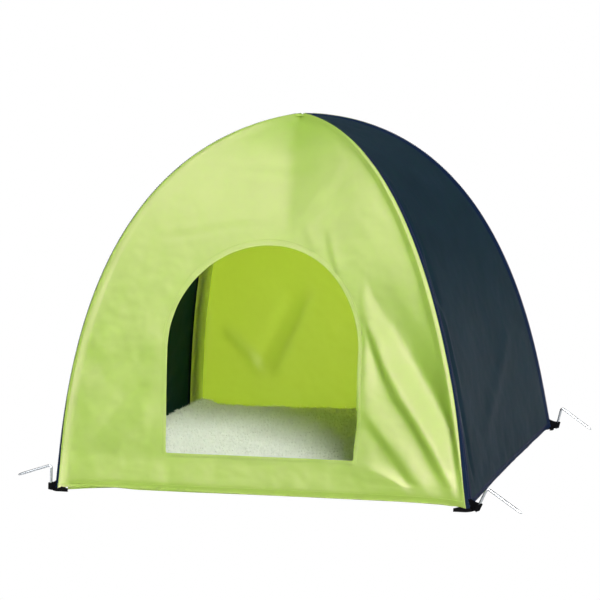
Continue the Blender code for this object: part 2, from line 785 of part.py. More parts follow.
def sheet_outline(z, inset):
    """Outline inside the panels' inner faces at a height, with its corners cut off."""
    t = solve(lambda t: flat_height(LEFT, t), z, -0.05)
    half_x = abs(taut_point(LEFT, 0, t, CLOTH).x) - inset
    t = solve(lambda t: flat_height(FRONT, t), z, -0.05)
    half_y = abs(taut_point(FRONT, 0, t, CLOTH).y) - inset
    cut = SHEET_CHAMFER - inset * 0.586
    points = []
    for sx, sy, first in ((1, 1, "x"), (-1, 1, "y"), (-1, -1, "x"), (1, -1, "y")):
        pair = [(sx * half_x, sy * (half_y - cut)), (sx * (half_x - cut), sy * half_y)]
        points += pair if first == "x" else pair[::-1]
    fine = []
    for (x0, y0), (x1, y1) in zip(points, points[1:] + points[:1]):
        steps = 1 if abs(x1 - x0) > 1e-6 and abs(y1 - y0) > 1e-6 else 6
        for i in range(steps):
            s = i / steps
            fine.append((x0 + (x1 - x0) * s, y0 + (y1 - y0) * s))
    return fine


def ground_sheet():
    """Floor cloth: flat in the middle, rising at its border to a strip sewn inside the hems."""

    def border(extra, inset):
        ring = []
        base = sheet_outline(HEM_CORNER, inset)
        for index, (x, y) in enumerate(base):
            a = min(abs(x) / (WIDTH / 2), 1.0)
            on_end = abs(y) > DEPTH / 2 - 0.012
            z = extra + (hem_height(FRONT, a) if on_end else HEM_CORNER)
            ring.append(Vector((*sheet_outline(z, inset)[index], z)))
        return ring

    flat = sheet_outline(0.0, SHEET_SLOPE)
    rings = [
        [Vector((x, y, 0.0)) for x, y in flat],
        border(0.0, SHEET_GAP),
        border(SHEET_UPSTAND, SHEET_GAP),
        border(SHEET_UPSTAND, SHEET_GAP + CLOTH),
        border(CLOTH, SHEET_GAP + CLOTH),
        [Vector((x, y, CLOTH)) for x, y in flat],
    ]
    rod("ground_sheet", rings)


def apex_patch():
    """Small square of cloth inside the four panel points, over the crossing poles."""
    grids = []
    steps = [-1, -0.5, 0, 0.5, 1]
    for depth in (0.0016, 0.0016 + CLOTH):
        grid = []
        for j in steps:
            row = []
            for i in steps:
                across = max(abs(i), abs(j)) * 0.012
                t = solve(lambda t: -profile(t)[0], -max(across, 0.0001))
                row.append(Vector((i * 0.012, j * 0.012 * RATIO, profile(t)[1] - depth)))
            grid.append(row)
        grids.append(grid)
    thick("apex_patch", *grids)


def holder(name, location=(0, 0, 0)):
    """An empty that carries the pieces of one body."""
    made = bpy.data.objects.new(name, None)
    made.empty_display_size = 0.03
    made.location = location
    bpy.context.scene.collection.objects.link(made)
    return made


def finish(obj, tent, loose_mat):
    """Gives a piece its material and hangs it on its body."""
    name = next(look for look, starts in PIECES.items() if obj.name.startswith(starts))
    material = bpy.data.materials.get(name)
    if material is None:
        colour, roughness, metallic = MATERIALS[name]
        material = bpy.data.materials.new(name)
        material.use_nodes = True
        shader = material.node_tree.nodes["Principled BSDF"]
        shader.inputs["Base Color"].default_value = (*colour, 1)
        shader.inputs["Roughness"].default_value = roughness
        shader.inputs["Metallic"].default_value = metallic
    obj.data.materials.append(material)
    obj.parent = loose_mat if obj.name.startswith("mat_") else tent


def build():
    for old in list(bpy.data.objects):
        bpy.data.objects.remove(old)
    door_panel("front_panel", FRONT)
    plain_panel("back_panel", BACK, 22, 12)
    plain_panel("left_panel", LEFT, 22, 8)
    plain_panel("right_panel", RIGHT, 22, 8)
    door_binding("door_binding", FRONT)
    apex_patch()
    ground_sheet()
    pole("a", 1, True)
    pole("b", -1, False)
    for sy, end in ((-1, "front"), (1, "back")):
        for sx, side in ((-1, "left"), (1, "right")):
            sleeve(f"sleeve_{end}_{side}", sx, sy)
            corner_pocket(f"pocket_{end}_{side}", sx, sy)
            lean, top, reach, tip = PEGS[end, side]
            peg_loop(f"peg_loop_{end}_{side}", sx, sy, lean)
            place = peg_place(sx, sy)
            foot = place + Vector((sx * lean * (PEG_FOOT - TAPE_BOTTOM), 0, PEG_FOOT))
            bend = place + Vector((sx * lean * (top - TAPE_BOTTOM), 0, top))
            peg(f"peg_{end}_{side}", foot, bend, (bend.x + sx * reach, bend.y, tip))
    mat()
    pieces = list(bpy.context.scene.collection.objects)
    tent, loose_mat = holder("tent"), holder("loose_mat", (0, 0, MAT_BOTTOM))
    loose_mat.parent = tent
    bpy.context.view_layer.update()
    for obj in pieces:
        finish(obj, tent, loose_mat)
        if obj.parent == loose_mat:
            obj.matrix_parent_inverse = loose_mat.matrix_world.inverted()


build()
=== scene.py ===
"""Looks of the pet tent: lime and navy polyester over two crossing poles, a plush mat,
black webbing at the corners and four bent wire pegs, on a white studio floor.
"""

import json
import math

import bpy
import numpy as np
from mathutils import Matrix, Vector, noise
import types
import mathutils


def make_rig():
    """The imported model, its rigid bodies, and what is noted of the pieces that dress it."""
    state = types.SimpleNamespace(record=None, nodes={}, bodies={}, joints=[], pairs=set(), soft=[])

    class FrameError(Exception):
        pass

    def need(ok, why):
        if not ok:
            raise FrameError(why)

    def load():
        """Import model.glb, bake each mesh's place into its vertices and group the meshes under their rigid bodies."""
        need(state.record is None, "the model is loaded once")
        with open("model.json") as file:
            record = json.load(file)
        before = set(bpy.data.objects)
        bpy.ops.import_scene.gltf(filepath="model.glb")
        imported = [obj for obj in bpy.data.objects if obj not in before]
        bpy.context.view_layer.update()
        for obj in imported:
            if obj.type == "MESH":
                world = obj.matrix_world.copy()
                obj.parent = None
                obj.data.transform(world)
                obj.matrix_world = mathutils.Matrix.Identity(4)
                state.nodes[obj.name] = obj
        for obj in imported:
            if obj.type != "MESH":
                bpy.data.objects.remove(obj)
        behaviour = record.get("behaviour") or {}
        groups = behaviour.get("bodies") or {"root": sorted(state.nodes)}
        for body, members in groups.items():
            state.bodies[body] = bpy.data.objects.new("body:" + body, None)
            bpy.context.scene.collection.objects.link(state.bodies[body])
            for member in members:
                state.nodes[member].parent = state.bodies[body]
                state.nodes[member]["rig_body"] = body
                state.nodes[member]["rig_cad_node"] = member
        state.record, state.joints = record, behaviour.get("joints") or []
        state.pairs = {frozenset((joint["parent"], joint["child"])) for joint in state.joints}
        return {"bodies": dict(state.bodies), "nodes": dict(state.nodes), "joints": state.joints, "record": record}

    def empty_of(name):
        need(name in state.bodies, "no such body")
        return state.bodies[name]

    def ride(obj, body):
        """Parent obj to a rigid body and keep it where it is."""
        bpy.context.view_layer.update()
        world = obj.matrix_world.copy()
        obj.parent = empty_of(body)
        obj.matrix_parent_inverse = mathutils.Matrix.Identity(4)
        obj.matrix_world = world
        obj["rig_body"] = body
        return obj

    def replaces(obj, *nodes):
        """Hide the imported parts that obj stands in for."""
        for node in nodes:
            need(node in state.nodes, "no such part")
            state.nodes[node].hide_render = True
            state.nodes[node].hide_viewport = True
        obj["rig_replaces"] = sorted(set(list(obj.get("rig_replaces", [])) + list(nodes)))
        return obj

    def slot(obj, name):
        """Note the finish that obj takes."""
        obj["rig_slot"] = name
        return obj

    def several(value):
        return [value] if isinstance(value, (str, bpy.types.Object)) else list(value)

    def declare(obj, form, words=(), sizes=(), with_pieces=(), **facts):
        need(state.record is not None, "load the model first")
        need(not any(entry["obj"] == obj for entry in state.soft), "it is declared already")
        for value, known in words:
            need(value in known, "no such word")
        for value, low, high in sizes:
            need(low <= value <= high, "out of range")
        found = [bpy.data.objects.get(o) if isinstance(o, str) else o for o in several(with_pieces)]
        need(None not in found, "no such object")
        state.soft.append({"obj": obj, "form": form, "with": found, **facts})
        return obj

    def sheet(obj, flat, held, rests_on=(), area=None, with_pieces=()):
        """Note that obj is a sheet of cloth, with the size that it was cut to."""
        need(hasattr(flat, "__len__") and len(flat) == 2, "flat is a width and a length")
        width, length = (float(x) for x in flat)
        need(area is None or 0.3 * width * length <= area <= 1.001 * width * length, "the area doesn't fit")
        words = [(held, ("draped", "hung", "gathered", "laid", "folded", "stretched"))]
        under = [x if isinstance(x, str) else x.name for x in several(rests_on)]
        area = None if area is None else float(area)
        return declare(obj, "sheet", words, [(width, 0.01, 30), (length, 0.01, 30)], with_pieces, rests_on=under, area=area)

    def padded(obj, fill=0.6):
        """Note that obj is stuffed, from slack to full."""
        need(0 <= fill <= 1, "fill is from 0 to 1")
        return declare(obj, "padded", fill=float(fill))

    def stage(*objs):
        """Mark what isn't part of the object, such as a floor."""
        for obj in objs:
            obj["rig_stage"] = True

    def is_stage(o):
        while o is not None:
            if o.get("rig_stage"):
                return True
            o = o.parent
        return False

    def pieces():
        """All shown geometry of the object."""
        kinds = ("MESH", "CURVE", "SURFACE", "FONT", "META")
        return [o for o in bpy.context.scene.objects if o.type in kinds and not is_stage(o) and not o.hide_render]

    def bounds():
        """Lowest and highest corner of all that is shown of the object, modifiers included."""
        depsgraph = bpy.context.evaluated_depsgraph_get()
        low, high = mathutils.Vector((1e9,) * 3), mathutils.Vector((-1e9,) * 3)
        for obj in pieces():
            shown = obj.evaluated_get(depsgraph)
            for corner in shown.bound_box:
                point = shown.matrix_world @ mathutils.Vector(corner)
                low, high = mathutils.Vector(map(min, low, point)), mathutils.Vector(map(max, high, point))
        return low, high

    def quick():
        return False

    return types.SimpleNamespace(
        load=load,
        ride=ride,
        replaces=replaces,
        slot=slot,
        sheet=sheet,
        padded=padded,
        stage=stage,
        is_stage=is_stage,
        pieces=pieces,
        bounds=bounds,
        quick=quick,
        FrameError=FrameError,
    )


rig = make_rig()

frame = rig.load()
solid_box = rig.bounds()

# Sizes in metres. They are the CAD's, but for rounder seams, sharper corners at the doorway's
# sill, and the shifts to the left and right.
MM = 0.001
WIDTH = 0.560
DEPTH = 0.466
RATIO = DEPTH / WIDTH
HEIGHT = 0.4743
LEAN_POINT = (0.2678, 0.0593)  # lower handle of the walls' Bezier profile
CROWN_POINT = (0.2508, 0.4512)  # and the upper one
TIP_X = 0.003  # the walls' points stop this far from the middle
CLOTH = 0.0008
SEAM_RADIUS = 0.0072
POLE_IN = 0.0060  # the same for the corner that the poles follow
SEAM_GAP = 0.00015
FLAT = 0.94  # share of a wall's half width before it wraps the pole
DOOR_HALF = 0.128
DOOR_SILL = 0.055
DOOR_SPRING = 0.190
DOOR_CORNER = 0.0025
DOOR_SHIFT = 0.0040
LEFT_CLOTH_OUT = 5.6 * MM  # the cloth lies fuller over the left poles by this
LEFT_CORNERS_OUT = 3 * MM  # and the webbing and pegs there stand further out
LOOP_HEADING = math.radians(23)  # of the webbing loops, turned from the X axis
LOOP_REACH = 0.0140
PEG_RADIUS = 0.0017
# Lean of each peg's leg, height of its bend, reach of its shank and height of its tip
PEGS = {
    ("front", "left"): (-0.080, 0.0345, 0.0495, 0.0190),
    ("front", "right"): (0.500, 0.0305, 0.0420, 0.0013),
    ("back", "right"): (0.280, 0.0318, 0.0420, 0.0013),
    ("back", "left"): (0.500, 0.0305, 0.0420, 0.0013),
}


# Blender's own tools


def deselect():
    bpy.ops.object.select_all(action="DESELECT")


def activate(obj):
    deselect()
    obj.select_set(True)
    bpy.context.view_layer.objects.active = obj


def apply_modifier(obj, kind, **settings):
    activate(obj)
    made = obj.modifiers.new(kind.title(), kind)
    for name, value in settings.items():
        setattr(made, name, value)
    bpy.ops.object.modifier_apply(modifier=made.name)


def points_of(obj):
    co = np.empty(len(obj.data.vertices) * 3)
    obj.data.vertices.foreach_get("co", co)
    return co.reshape(-1, 3)


def set_points(obj, points):
    obj.data.vertices.foreach_set("co", np.ascontiguousarray(points, float).ravel())
    obj.data.update()


def set_uv(obj, uv):
    """Writes one UV, in metres, for each vertex."""
    layer = obj.data.uv_layers[0] if obj.data.uv_layers else obj.data.uv_layers.new(name="UVMap")
    index = np.empty(len(obj.data.loops), np.int32)
    obj.data.loops.foreach_get("vertex_index", index)
    layer.data.foreach_set("uv", np.ascontiguousarray(uv[index], float).ravel())


def set_double_and_painted_shading(obj, values):
    """Stores how far the cloth is double at each vertex, from 0 to 1, which its material reads. Single cloth marked as
    double here is painted shading.
    """
    made = obj.data.attributes.new("double", "FLOAT", "POINT")
    made.data.foreach_set("value", np.ascontiguousarray(values, np.float32))


def new_grid(name, columns, rows):
    """A grid primitive, and where each of its points lies from 0 to 1 both ways."""
    deselect()
    bpy.ops.mesh.primitive_grid_add(x_subdivisions=columns, y_subdivisions=rows, size=1)
    obj = bpy.context.active_object
    obj.name = obj.data.name = name
    co = points_of(obj)
    return obj, co[:, 0] + 0.5, co[:, 1] + 0.5


def from_parts(name, points, faces):
    """An object of copies that have the same faces: points come as copy, point and axis."""
    count, size, _ = points.shape
    all_faces = [tuple(i + n * size for i in face) for n in range(count) for face in faces]
    mesh = bpy.data.meshes.new(name)
    mesh.from_pydata(points.reshape(-1, 3).tolist(), [], all_faces)
    obj = bpy.data.objects.new(name, mesh)
    bpy.context.scene.collection.objects.link(obj)
    return obj


def edit(obj, operator, **settings):
    """Runs a mesh operator over all of an object."""
    activate(obj)
    bpy.ops.object.mode_set(mode="EDIT")
    bpy.ops.mesh.select_all(action="SELECT")
    operator(**settings)
    bpy.ops.object.mode_set(mode="OBJECT")


def outward(obj, normals):
    """Turns the faces over if they point the wrong way."""
    found = np.empty(len(obj.data.vertices) * 3)
    obj.data.vertex_normals.foreach_get("vector", found)
    if (found.reshape(-1, 3) * normals).sum() < 0:
        edit(obj, bpy.ops.mesh.flip_normals)


def weld(obj, distance=1e-6):
    edit(obj, bpy.ops.mesh.remove_doubles, threshold=distance)


def recalculate(obj):
    edit(obj, bpy.ops.mesh.normals_make_consistent, inside=False)


def smooth(obj, angle=None):
    activate(obj)
    if angle is None:
        bpy.ops.object.shade_smooth()
    else:
        bpy.ops.object.shade_smooth_by_angle(angle=math.radians(angle))


def thicken(obj, thickness, normals):
    """Gives a sheet its thickness, away from these normals of its outer face."""
    outward(obj, normals)
    apply_modifier(obj, "SOLIDIFY", thickness=thickness, offset=-1.0)
    smooth(obj, 50)


def thicken_both(obj, thickness, angle=50):
    """Gives a sheet its thickness, half of it to each side."""
    apply_modifier(obj, "SOLIDIFY", thickness=thickness, offset=0.0)
    recalculate(obj)
    smooth(obj, angle)


def place(obj, body, material, slot=None, *replaced):
    obj.data.materials.clear()
    obj.data.materials.append(material)
    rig.ride(obj, body)
    if slot:
        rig.slot(obj, slot)
    if replaced:
        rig.replaces(obj, *replaced)
    return obj


# Materials


def linear(hex_colour):
    """sRGB hex to Blender's linear RGBA."""
    parts = [int(hex_colour[i : i + 2], 16) / 255 for i in (1, 3, 5)]
    return [p / 12.92 if p <= 0.04045 else ((p + 0.055) / 1.055) ** 2.4 for p in parts] + [1.0]


def add(tree, kind, inputs=None, **settings):
    """Adds a node, sets its properties, and sets or links its inputs by name or number."""
    node = tree.nodes.new("ShaderNode" + kind)
    for name, value in settings.items():
        setattr(node, name, value)
    for name, value in (inputs or {}).items():
        if isinstance(value, bpy.types.NodeSocket):
            tree.links.new(value, node.inputs[name])
        else:
            node.inputs[name].default_value = value
    return node


def new_material(name):
    material = bpy.data.materials.new(name)
    material.use_nodes = True
    tree = material.node_tree
    tree.nodes.clear()
    return material, tree, add(tree, "OutputMaterial").inputs["Surface"]


def mix_colours(tree, share, a, b):
    return add(tree, "Mix", {0: share, 6: a, 7: b}, data_type="RGBA").outputs[2]


def noise_texture(tree, where, scale, detail, roughness):
    inputs = {"Vector": where, "Scale": scale, "Detail": detail, "Roughness": roughness}
    return add(tree, "TexNoise", inputs).outputs["Fac"]


def bump(tree, height, distance):
    inputs = {"Strength": 0.5, "Distance": distance, "Height": height}
    return add(tree, "Bump", inputs).outputs[0]


def map_range(tree, value, *limits):
    """Limits are those of the value, then those of the result."""
    return add(tree, "MapRange", {0: value, **dict(enumerate(limits, 1))}).outputs[0]


def woven_cloth(name, colours, share_through, gloss, tint, roughness=0.5):
    """Plain-woven polyester, calendered on one side: an even dye, a soft broad shine across
    the yarns, and light that comes through a single layer but hardly through two. The colours
    are the dye, the dye where it is thinner, a double layer and the light that comes through.
    The double layer's colour and its smaller share of light through also serve as painted
    shading where single cloth is marked as double."""
    material, tree, surface = new_material(name)
    dyed, worn, doubled_and_painted_shading, through = map(linear, colours)
    uv = add(tree, "UVMap", uv_map="UVMap").outputs[0]
    # Real yarns lie 0.25 mm apart. They are drawn 1.3 mm apart, as fine as the picture shows.
    pitch = 1.3 * MM
    wave = {"Vector": uv, "Scale": 2 * math.pi / 20 / pitch, "Distortion": 0.0}
    warp, weft = (add(tree, "TexWave", wave, bands_direction=way).outputs["Fac"] for way in "XY")
    weave = add(tree, "Math", {0: warp, 1: weft}, operation="MULTIPLY").outputs[0]
    cloud = noise_texture(tree, uv, 14.0, 3.0, 0.55)
    crimp = noise_texture(tree, uv, 240.0, 2.0, 0.6)
    height = add(tree, "Math", {0: crimp, 1: 0.8, 2: weave}, operation="MULTIPLY_ADD").outputs[0]
    tone = map_range(tree, cloud, 0.35, 0.65, 0.0, 1.0)
    # The attribute marks real double cloth and also painted shading on single cloth: it darkens the dye toward the
    # doubled colour and lets less light through.
    double = add(tree, "Attribute", attribute_name="double").outputs["Fac"]
    inputs = {
        "Base Color": mix_colours(tree, double, mix_colours(tree, tone, dyed, worn), doubled_and_painted_shading),
        "Roughness": roughness,
        "IOR": 1.6,
        "Specular IOR Level": gloss,
        "Specular Tint": tint,
        "Normal": bump(tree, height, 0.00012),
    }
    cloth = add(tree, "BsdfPrincipled", inputs).outputs[0]
    lit = add(tree, "BsdfTranslucent", {"Color": through}).outputs[0]
    single = map_range(tree, double, 0.0, 1.0, share_through, share_through * 0.35)
    tree.links.new(add(tree, "MixShader", {0: single, 1: cloth, 2: lit}).outputs[0], surface)
    return material


def plain_material(name, light, dark, roughness, size, depth, **more):
    """Moulded, drawn, spun or cut pieces: close colours in a grain of this size and depth in
    mm, and more inputs of the shader by name."""
    material, tree, surface = new_material(name)
    where = add(tree, "TexCoord").outputs["Object"]
    grain = noise_texture(tree, where, 1 / (size * MM), 3.0, 0.6)
    colour = mix_colours(tree, grain, linear(light), linear(dark))
    inputs = {"Base Color": colour, "Roughness": roughness, **more}
    if depth:
        inputs["Normal"] = bump(tree, grain, depth * MM)
    tree.links.new(add(tree, "BsdfPrincipled", inputs).outputs[0], surface)
    return material


LIME_COLOURS = ("#9DC836", "#A4CF3D", "#99C42E", "#E6F484")
# NAVY's doubled colour is also painted shade, on the band beside the side walls' seams.
NAVY_COLOURS = ("#1A2833", "#1D2C38", "#12203A", "#6FBC80")
PAINTED_LIGHT_LINING_COLOURS = ("#C8E66C", "#D0EA78", "#C8E66C", "#FFFFF4")
LIME_TINT, NAVY_TINT = (1.0, 0.633, 0.746, 1.0), (0.85, 1.0, 1.0, 1.0)
LIME = woven_cloth("polyester taffeta lime", LIME_COLOURS, 0.44, 0.75, LIME_TINT)
TAPE = woven_cloth("polyester tape lime", LIME_COLOURS, 0.44, 0.75, LIME_TINT)
# The back wall is uncoated, so that more light comes in through it.
LIME_BACK = woven_cloth("polyester taffeta lime, uncoated", LIME_COLOURS, 0.62, 0.5, LIME_TINT)
NAVY = woven_cloth("polyester taffeta navy", NAVY_COLOURS, 0.15, 0.014, NAVY_TINT)
# Painted light: the lining's lime is paler than the walls' and lets white light through, so that the pole channels
# inside don't show the shade of the poles and the walls around them.
LINING = woven_cloth("polyester lining lime, sheer", PAINTED_LIGHT_LINING_COLOURS, 0.84, 0.2, LIME_TINT, 0.55)
WEBBING = plain_material(
    "polypropylene webbing black", "#050506", "#0B0C0E", 0.75, 0.9, 0.25,
    **{"Specular IOR Level": 0.02},
)
WIRE = plain_material("zinc-plated steel wire", "#8E9297", "#A9ADB1", 0.22, 1.5, 0.02, Metallic=1)
RODS = plain_material("fibreglass rod grey", "#2B2E31", "#3A3D40", 0.38, 0.6, 0.03)
STEEL = plain_material("plated steel ferrule", "#A8ACB0", "#C8CCD0", 0.3, 1, 0.02, Metallic=1)
NYLON = plain_material("moulded nylon black", "#0C0D0E", "#141517", 0.45, 0.5, 0.02)
ELASTIC = plain_material("braided elastic white", "#D8D8D2", "#BFC0BA", 0.8, 0.7, 0.1)
LIME_THREAD = plain_material("polyester thread lime", "#B4D450", "#A9C63E", 0.5, 0.4, 0.05)
NAVY_THREAD = plain_material("polyester thread navy", "#1A2440", "#10182C", 0.5, 0.4, 0.05)
# Cut pile scatters light and has no grain but clumps of 7 mm.
PLUSH = plain_material(
    "polyester plush white", "#EEF2EA", "#E6EBDF", 0.8, 1 / 0.14, 0,
    **{"Specular IOR Level": 0.2, "Sheen Weight": 0.4, "Sheen Roughness": 0.5},
)
BACKING = plain_material("brushed polyester backing", "#E6E6E2", "#D4D5D0", 0.85, 1.2, 0.15)


# Shape of the shell. A panel point is given by a, from seam to seam, and t, from ground to apex.
# Local axes are u along the wall, w out of it and z up.

FACES = {"front": 0, "right": 90, "back": 180, "left": 270}


def profile(t):
    handles = np.array([(WIDTH / 2, 0.0), LEAN_POINT, CROWN_POINT, (0.0, HEIGHT)])
    s = 1 - t
    spot = np.stack([s**3, 3 * t * s**2, 3 * t * t * s, t**3]).T @ handles
    rate = np.stack([s * s, 2 * t * s, t * t]).T @ (3 * np.diff(handles, axis=0))
    return spot, rate


def unit(v):
    return v / np.linalg.norm(v, axis=-1, keepdims=True)


def smoothstep(x):
    x = np.clip(x, 0, 1)
    return x * x * (3 - 2 * x)


def lengths_along(points):
    """How far along a line each of its points lies."""
    return np.concatenate([[0], np.cumsum(np.linalg.norm(np.diff(points, axis=0), axis=1))])


def points_at(places, lengths, values):
    """Rows of values at places along a line."""
    return np.stack([np.interp(places, lengths, column) for column in values.T], -1)


def seam_turn(face, a, z):
    """Where the seam lies round the corner pole: 0 in this wall's plane, 1 in the next wall's.
    Low down it is turned to the front, so that a strip of the side shows past it."""
    low = 0.36 * smoothstep((0.150 - z) / 0.150)
    if face == "front":
        return 0.5 - low
    at_front = {"left": a > 0, "right": a < 0}.get(face, False)
    return np.where(at_front, 0.5 + low, 0.5)


def shares(face):
    """How far a wall's corner reaches along it and out, as shares of the profile's."""
    return (1.0, RATIO) if face in ("front", "back") else (RATIO, 1.0)


def corner_frame(face, t, radius):
    """The corner at a wall's right: the middle of a round of this radius inside both walls,
    and the outward directions of the wall and of the next one, local to the wall."""
    along, out = shares(face)
    spot, rate = profile(t)
    zero = np.zeros_like(t)
    own = unit(np.stack([zero, rate[..., 1], -out * rate[..., 0]], -1))
    other = unit(np.stack([rate[..., 1], zero, -along * rate[..., 0]], -1))
    sharp = np.stack([along * spot[..., 0], out * spot[..., 0], spot[..., 1]], -1)
    return sharp - radius * (own + other) / (1 + (own * other).sum(-1, keepdims=True)), own, other


def local_point(face, a, t):
    """Local point and outward normal of the undisturbed cloth."""
    a, t = np.broadcast_arrays(np.asarray(a, float), np.asarray(t, float))
    middle, own, other = corner_frame(face, t, SEAM_RADIUS)
    share = np.clip((np.abs(a) - FLAT) / (1 - FLAT), 0, 1)[..., None]
    g = share * seam_turn(face, a, middle[..., 2])[..., None]
    normal = unit(own * (1 - g) + other * g)
    point = middle + SEAM_RADIUS * normal
    point[..., 0] *= np.minimum(np.abs(a), FLAT) / FLAT
    along, out = shares(face)
    point += share * SEAM_GAP * unit(np.array([-out, along, 0.0]))
    side = np.where(a < 0, -1.0, 1.0)
    point[..., 0] *= side
    normal[..., 0] *= side
    return point, normal


def half_width(face, t):
    """Half the width of a wall's flat."""
    return local_point(face, FLAT, t)[0][..., 0]


def to_world(face, local):
    """Turns local points or normals to their wall."""
    angle = math.radians(FACES[face])
    c, s = math.cos(angle), math.sin(angle)
    u, w, z = local[..., 0], local[..., 1], local[..., 2]
    return np.stack([c * u + s * w, s * u - c * w, z], -1)


def settle(points, most=LEFT_CLOTH_OUT):
    """Moves points outward, from nothing in the middle to the most over the left poles."""
    points = np.array(points)
    points[..., 0] -= most * smoothstep(-points[..., 0] / 0.24)
    return points


def solve_t(height, target, low=0.0, high=1.0):
    """t at which a rising height reaches the target, for arrays."""
    target = np.asarray(target, float)
    low, high = np.full(target.shape, low), np.full(target.shape, high)
    for _ in range(40):
        middle = (low + high) / 2
        below = height(middle) < target
        low, high = np.where(below, middle, low), np.where(below, high, middle)
    return (low + high) / 2


def t_at_height(face, a, z, low=-0.02, high=0.3):
    """t at which the undisturbed cloth reaches a height."""
    return solve_t(lambda t: local_point(face, a, t)[0][..., 2], z, low, high)


def t_at_x(x):
    """t at which the profile is this far from the middle."""
    return float(solve_t(lambda t: -profile(t)[0][..., 0], np.array([-x]))[0])


T_TIP = t_at_x(TIP_X)


# Height of the front hem over the floor, in mm, from corner to corner
FRONT_HEM = (
    (-1, 10), (-0.985, 4), (-0.97, 2.5), (-0.94, 2.0), (-0.88, 3.3), (-0.80, 5.7), (-0.71, 8.3),
    (-0.63, 7.4), (-0.57, 6.4), (-0.37, 6.4), (0, 7.1), (0.65, 8.2), (0.73, 7.9), (0.85, 7.0),
    (0.92, 5.0), (1, 2.5),
)


def hem_height(face, a):
    """Lower edge of the cloth, which is drawn up a little between the corners."""
    if face == "front":
        return np.interp(a, *zip(*FRONT_HEM)) * MM
    return (4.0 + (1.4 * (1 - a**4) if face == "back" else 0)) * MM + 0 * a


def hem_t(face, a):
    return t_at_height(face, a, hem_height(face, a))


def to_panel(face, u, z):
    """Panel coordinates (a, t) of a point by its place along the wall and its height."""
    u, z = np.broadcast_arrays(np.asarray(u, float), np.asarray(z, float))
    t = t_at_height(face, 0, z, high=1.0)
    return FLAT * u / half_width(face, t), t


def arc_length(face, t):
    """Length of cloth from the ground up to t, up the middle of a panel."""
    steps = np.linspace(-0.02, 1, 600)
    lengths = lengths_along(local_point(face, 0, steps)[0])
    return np.interp(t, steps, lengths - np.interp(0, steps, lengths))


def fold(height, width, line, crisp=2.0, ends=(0.25, 0.2)):
    """A fold in millimetres, drawn from top to bottom as (u, z) points. Valleys are negative.
    The height may be one for its start and one for its end, and the width one for its left
    and one for its right. It fades in and out over these shares of its length."""
    height, width = (v if isinstance(v, tuple) else (v, v) for v in (height, width))
    return height, width, np.asarray(line, float), crisp, ends


# Pleats pulled from the doorway's right side down to the corner. Each crest or trough is a row
# of (height over the floor, place along the wall, how far it stands out), in mm.
PLEAT_START = [
    (320, 60, 0), (290, 88, 0), (271, 107, 0), (247, 121, 0), (229, 129, -0.8), (199, 133, -0.8),
    (150, 134, 1.6), (117, 135, 2.3), (95, 134, 0.6), (64, 131, 0.9), (50, 128, 1.5), (20, 128, 0),
]
PLEATS = [
    [(66, 130, 0), (54, 134, 1.5), (44, 151, 2.2), (35, 171, 2.2), (26, 188, 1.5)],
    [(110, 134, 2.0), (99, 138, 0.5), (83, 149, -0.5), (66, 161, -0.7), (47, 178, -0.7),
        (32, 190, -0.5), (23, 195, 0)],
    [(130, 134, 2.0), (117, 138, 2.3), (103, 149, 2.5), (91, 159, 2.5), (71, 176, 2.5),
        (50, 193, 2.2), (32, 205, 1.5), (24, 211, 1.0)],
    [(232, 128, -1), (219, 134, -1.2), (193, 143, -1.5), (169, 152, -1.5), (133, 168, -1.5),
        (104, 190, -1.5), (74, 209, -1.5), (43, 226, -1), (28, 234, -0.5)],
    [(300, 122, 0), (291, 125, 0.3), (253, 132, 1.8), (230, 137, 2.6), (207, 147, 3.2),
        (176, 160, 3.5), (133, 185, 3.5), (104, 206, 3.5), (75, 224, 3.2), (44, 241, 2.2),
        (28, 249, 1.2)],
    [(306, 124, 0), (298, 127, 0), (276, 141, -1), (253, 155, -3), (208, 183, -6),
        (177, 199, -8), (152, 215, -8.6), (108, 240, -7), (69, 258, -3.6), (39, 268, -1)],
]
FRONT_FOLDS = [
    # Streaks that fan out above the arch
    fold((0.6, 0.7), (5, 8), [(42, 358), (54, 339), (62, 324), (67, 311)], 1.8, (0.4, 0.15)),
    fold((0.6, 0.9), (4, 8), [(76, 345), (87, 322), (95, 303), (103, 284)], 1.7, (0.4, 0.12)),
    fold((-0.4, -0.5), 6, [(70, 345), (80, 322), (88, 303), (96, 288)], 2, (0.4, 0.2)),
    # A shallow crease over the left of the arch
    fold(
        (-1.3, -1.0), 3.5, [(-140, 326), (-93, 334), (-69, 340), (-40, 345), (20, 346)],
        2, (0.2, 0.4),
    ),
    fold((1.0, 0.8), 6, [(-150, 334), (-93, 343), (-40, 353), (10, 354)], 2, (0.3, 0.4)),
    # Softer waves beside the doorway's left side
    fold(1.8, 16, [(-252, 178), (-182, 202), (-126, 228)], 2, (0.3, 0.3)),
    fold(-1.6, 14, [(-240, 146), (-185, 168), (-132, 186)], 2, (0.3, 0.3)),
    fold(-0.6, 9, [(-122, 60), (-122, 30), (-120, 4)], 2, (0.2, 0.1)),
    fold(1.4, 12, [(-130, 130), (-160, 95), (-205, 50)], 2, (0.3, 0.3)),
    fold(-1.4, 10, [(-140, 150), (-190, 110), (-236, 55)], 2, (0.3, 0.3)),
]
BACK_FOLDS = [
    fold(-3.4, 6, [(231, 190), (238, 138), (245, 106), (256, 60)], 1.8),
    fold(3.0, 12, [(84, 215), (109, 171), (138, 124), (165, 70)]),
    fold(-3.0, 9, [(60, 215), (84, 165), (116, 110), (140, 60)]),
    fold(2.4, 14, [(-20, 150), (-60, 220), (-120, 300)]),
    fold(-2.4, 14, [(-90, 40), (-150, 100), (-200, 160)]),
    fold(-1.8, 10, [(150, 60), (178, 110), (215, 150)], 2, (0.3, 0.3)),
    fold(2.8, 12, [(-236, 90), (-180, 55), (-110, 20)]),
]
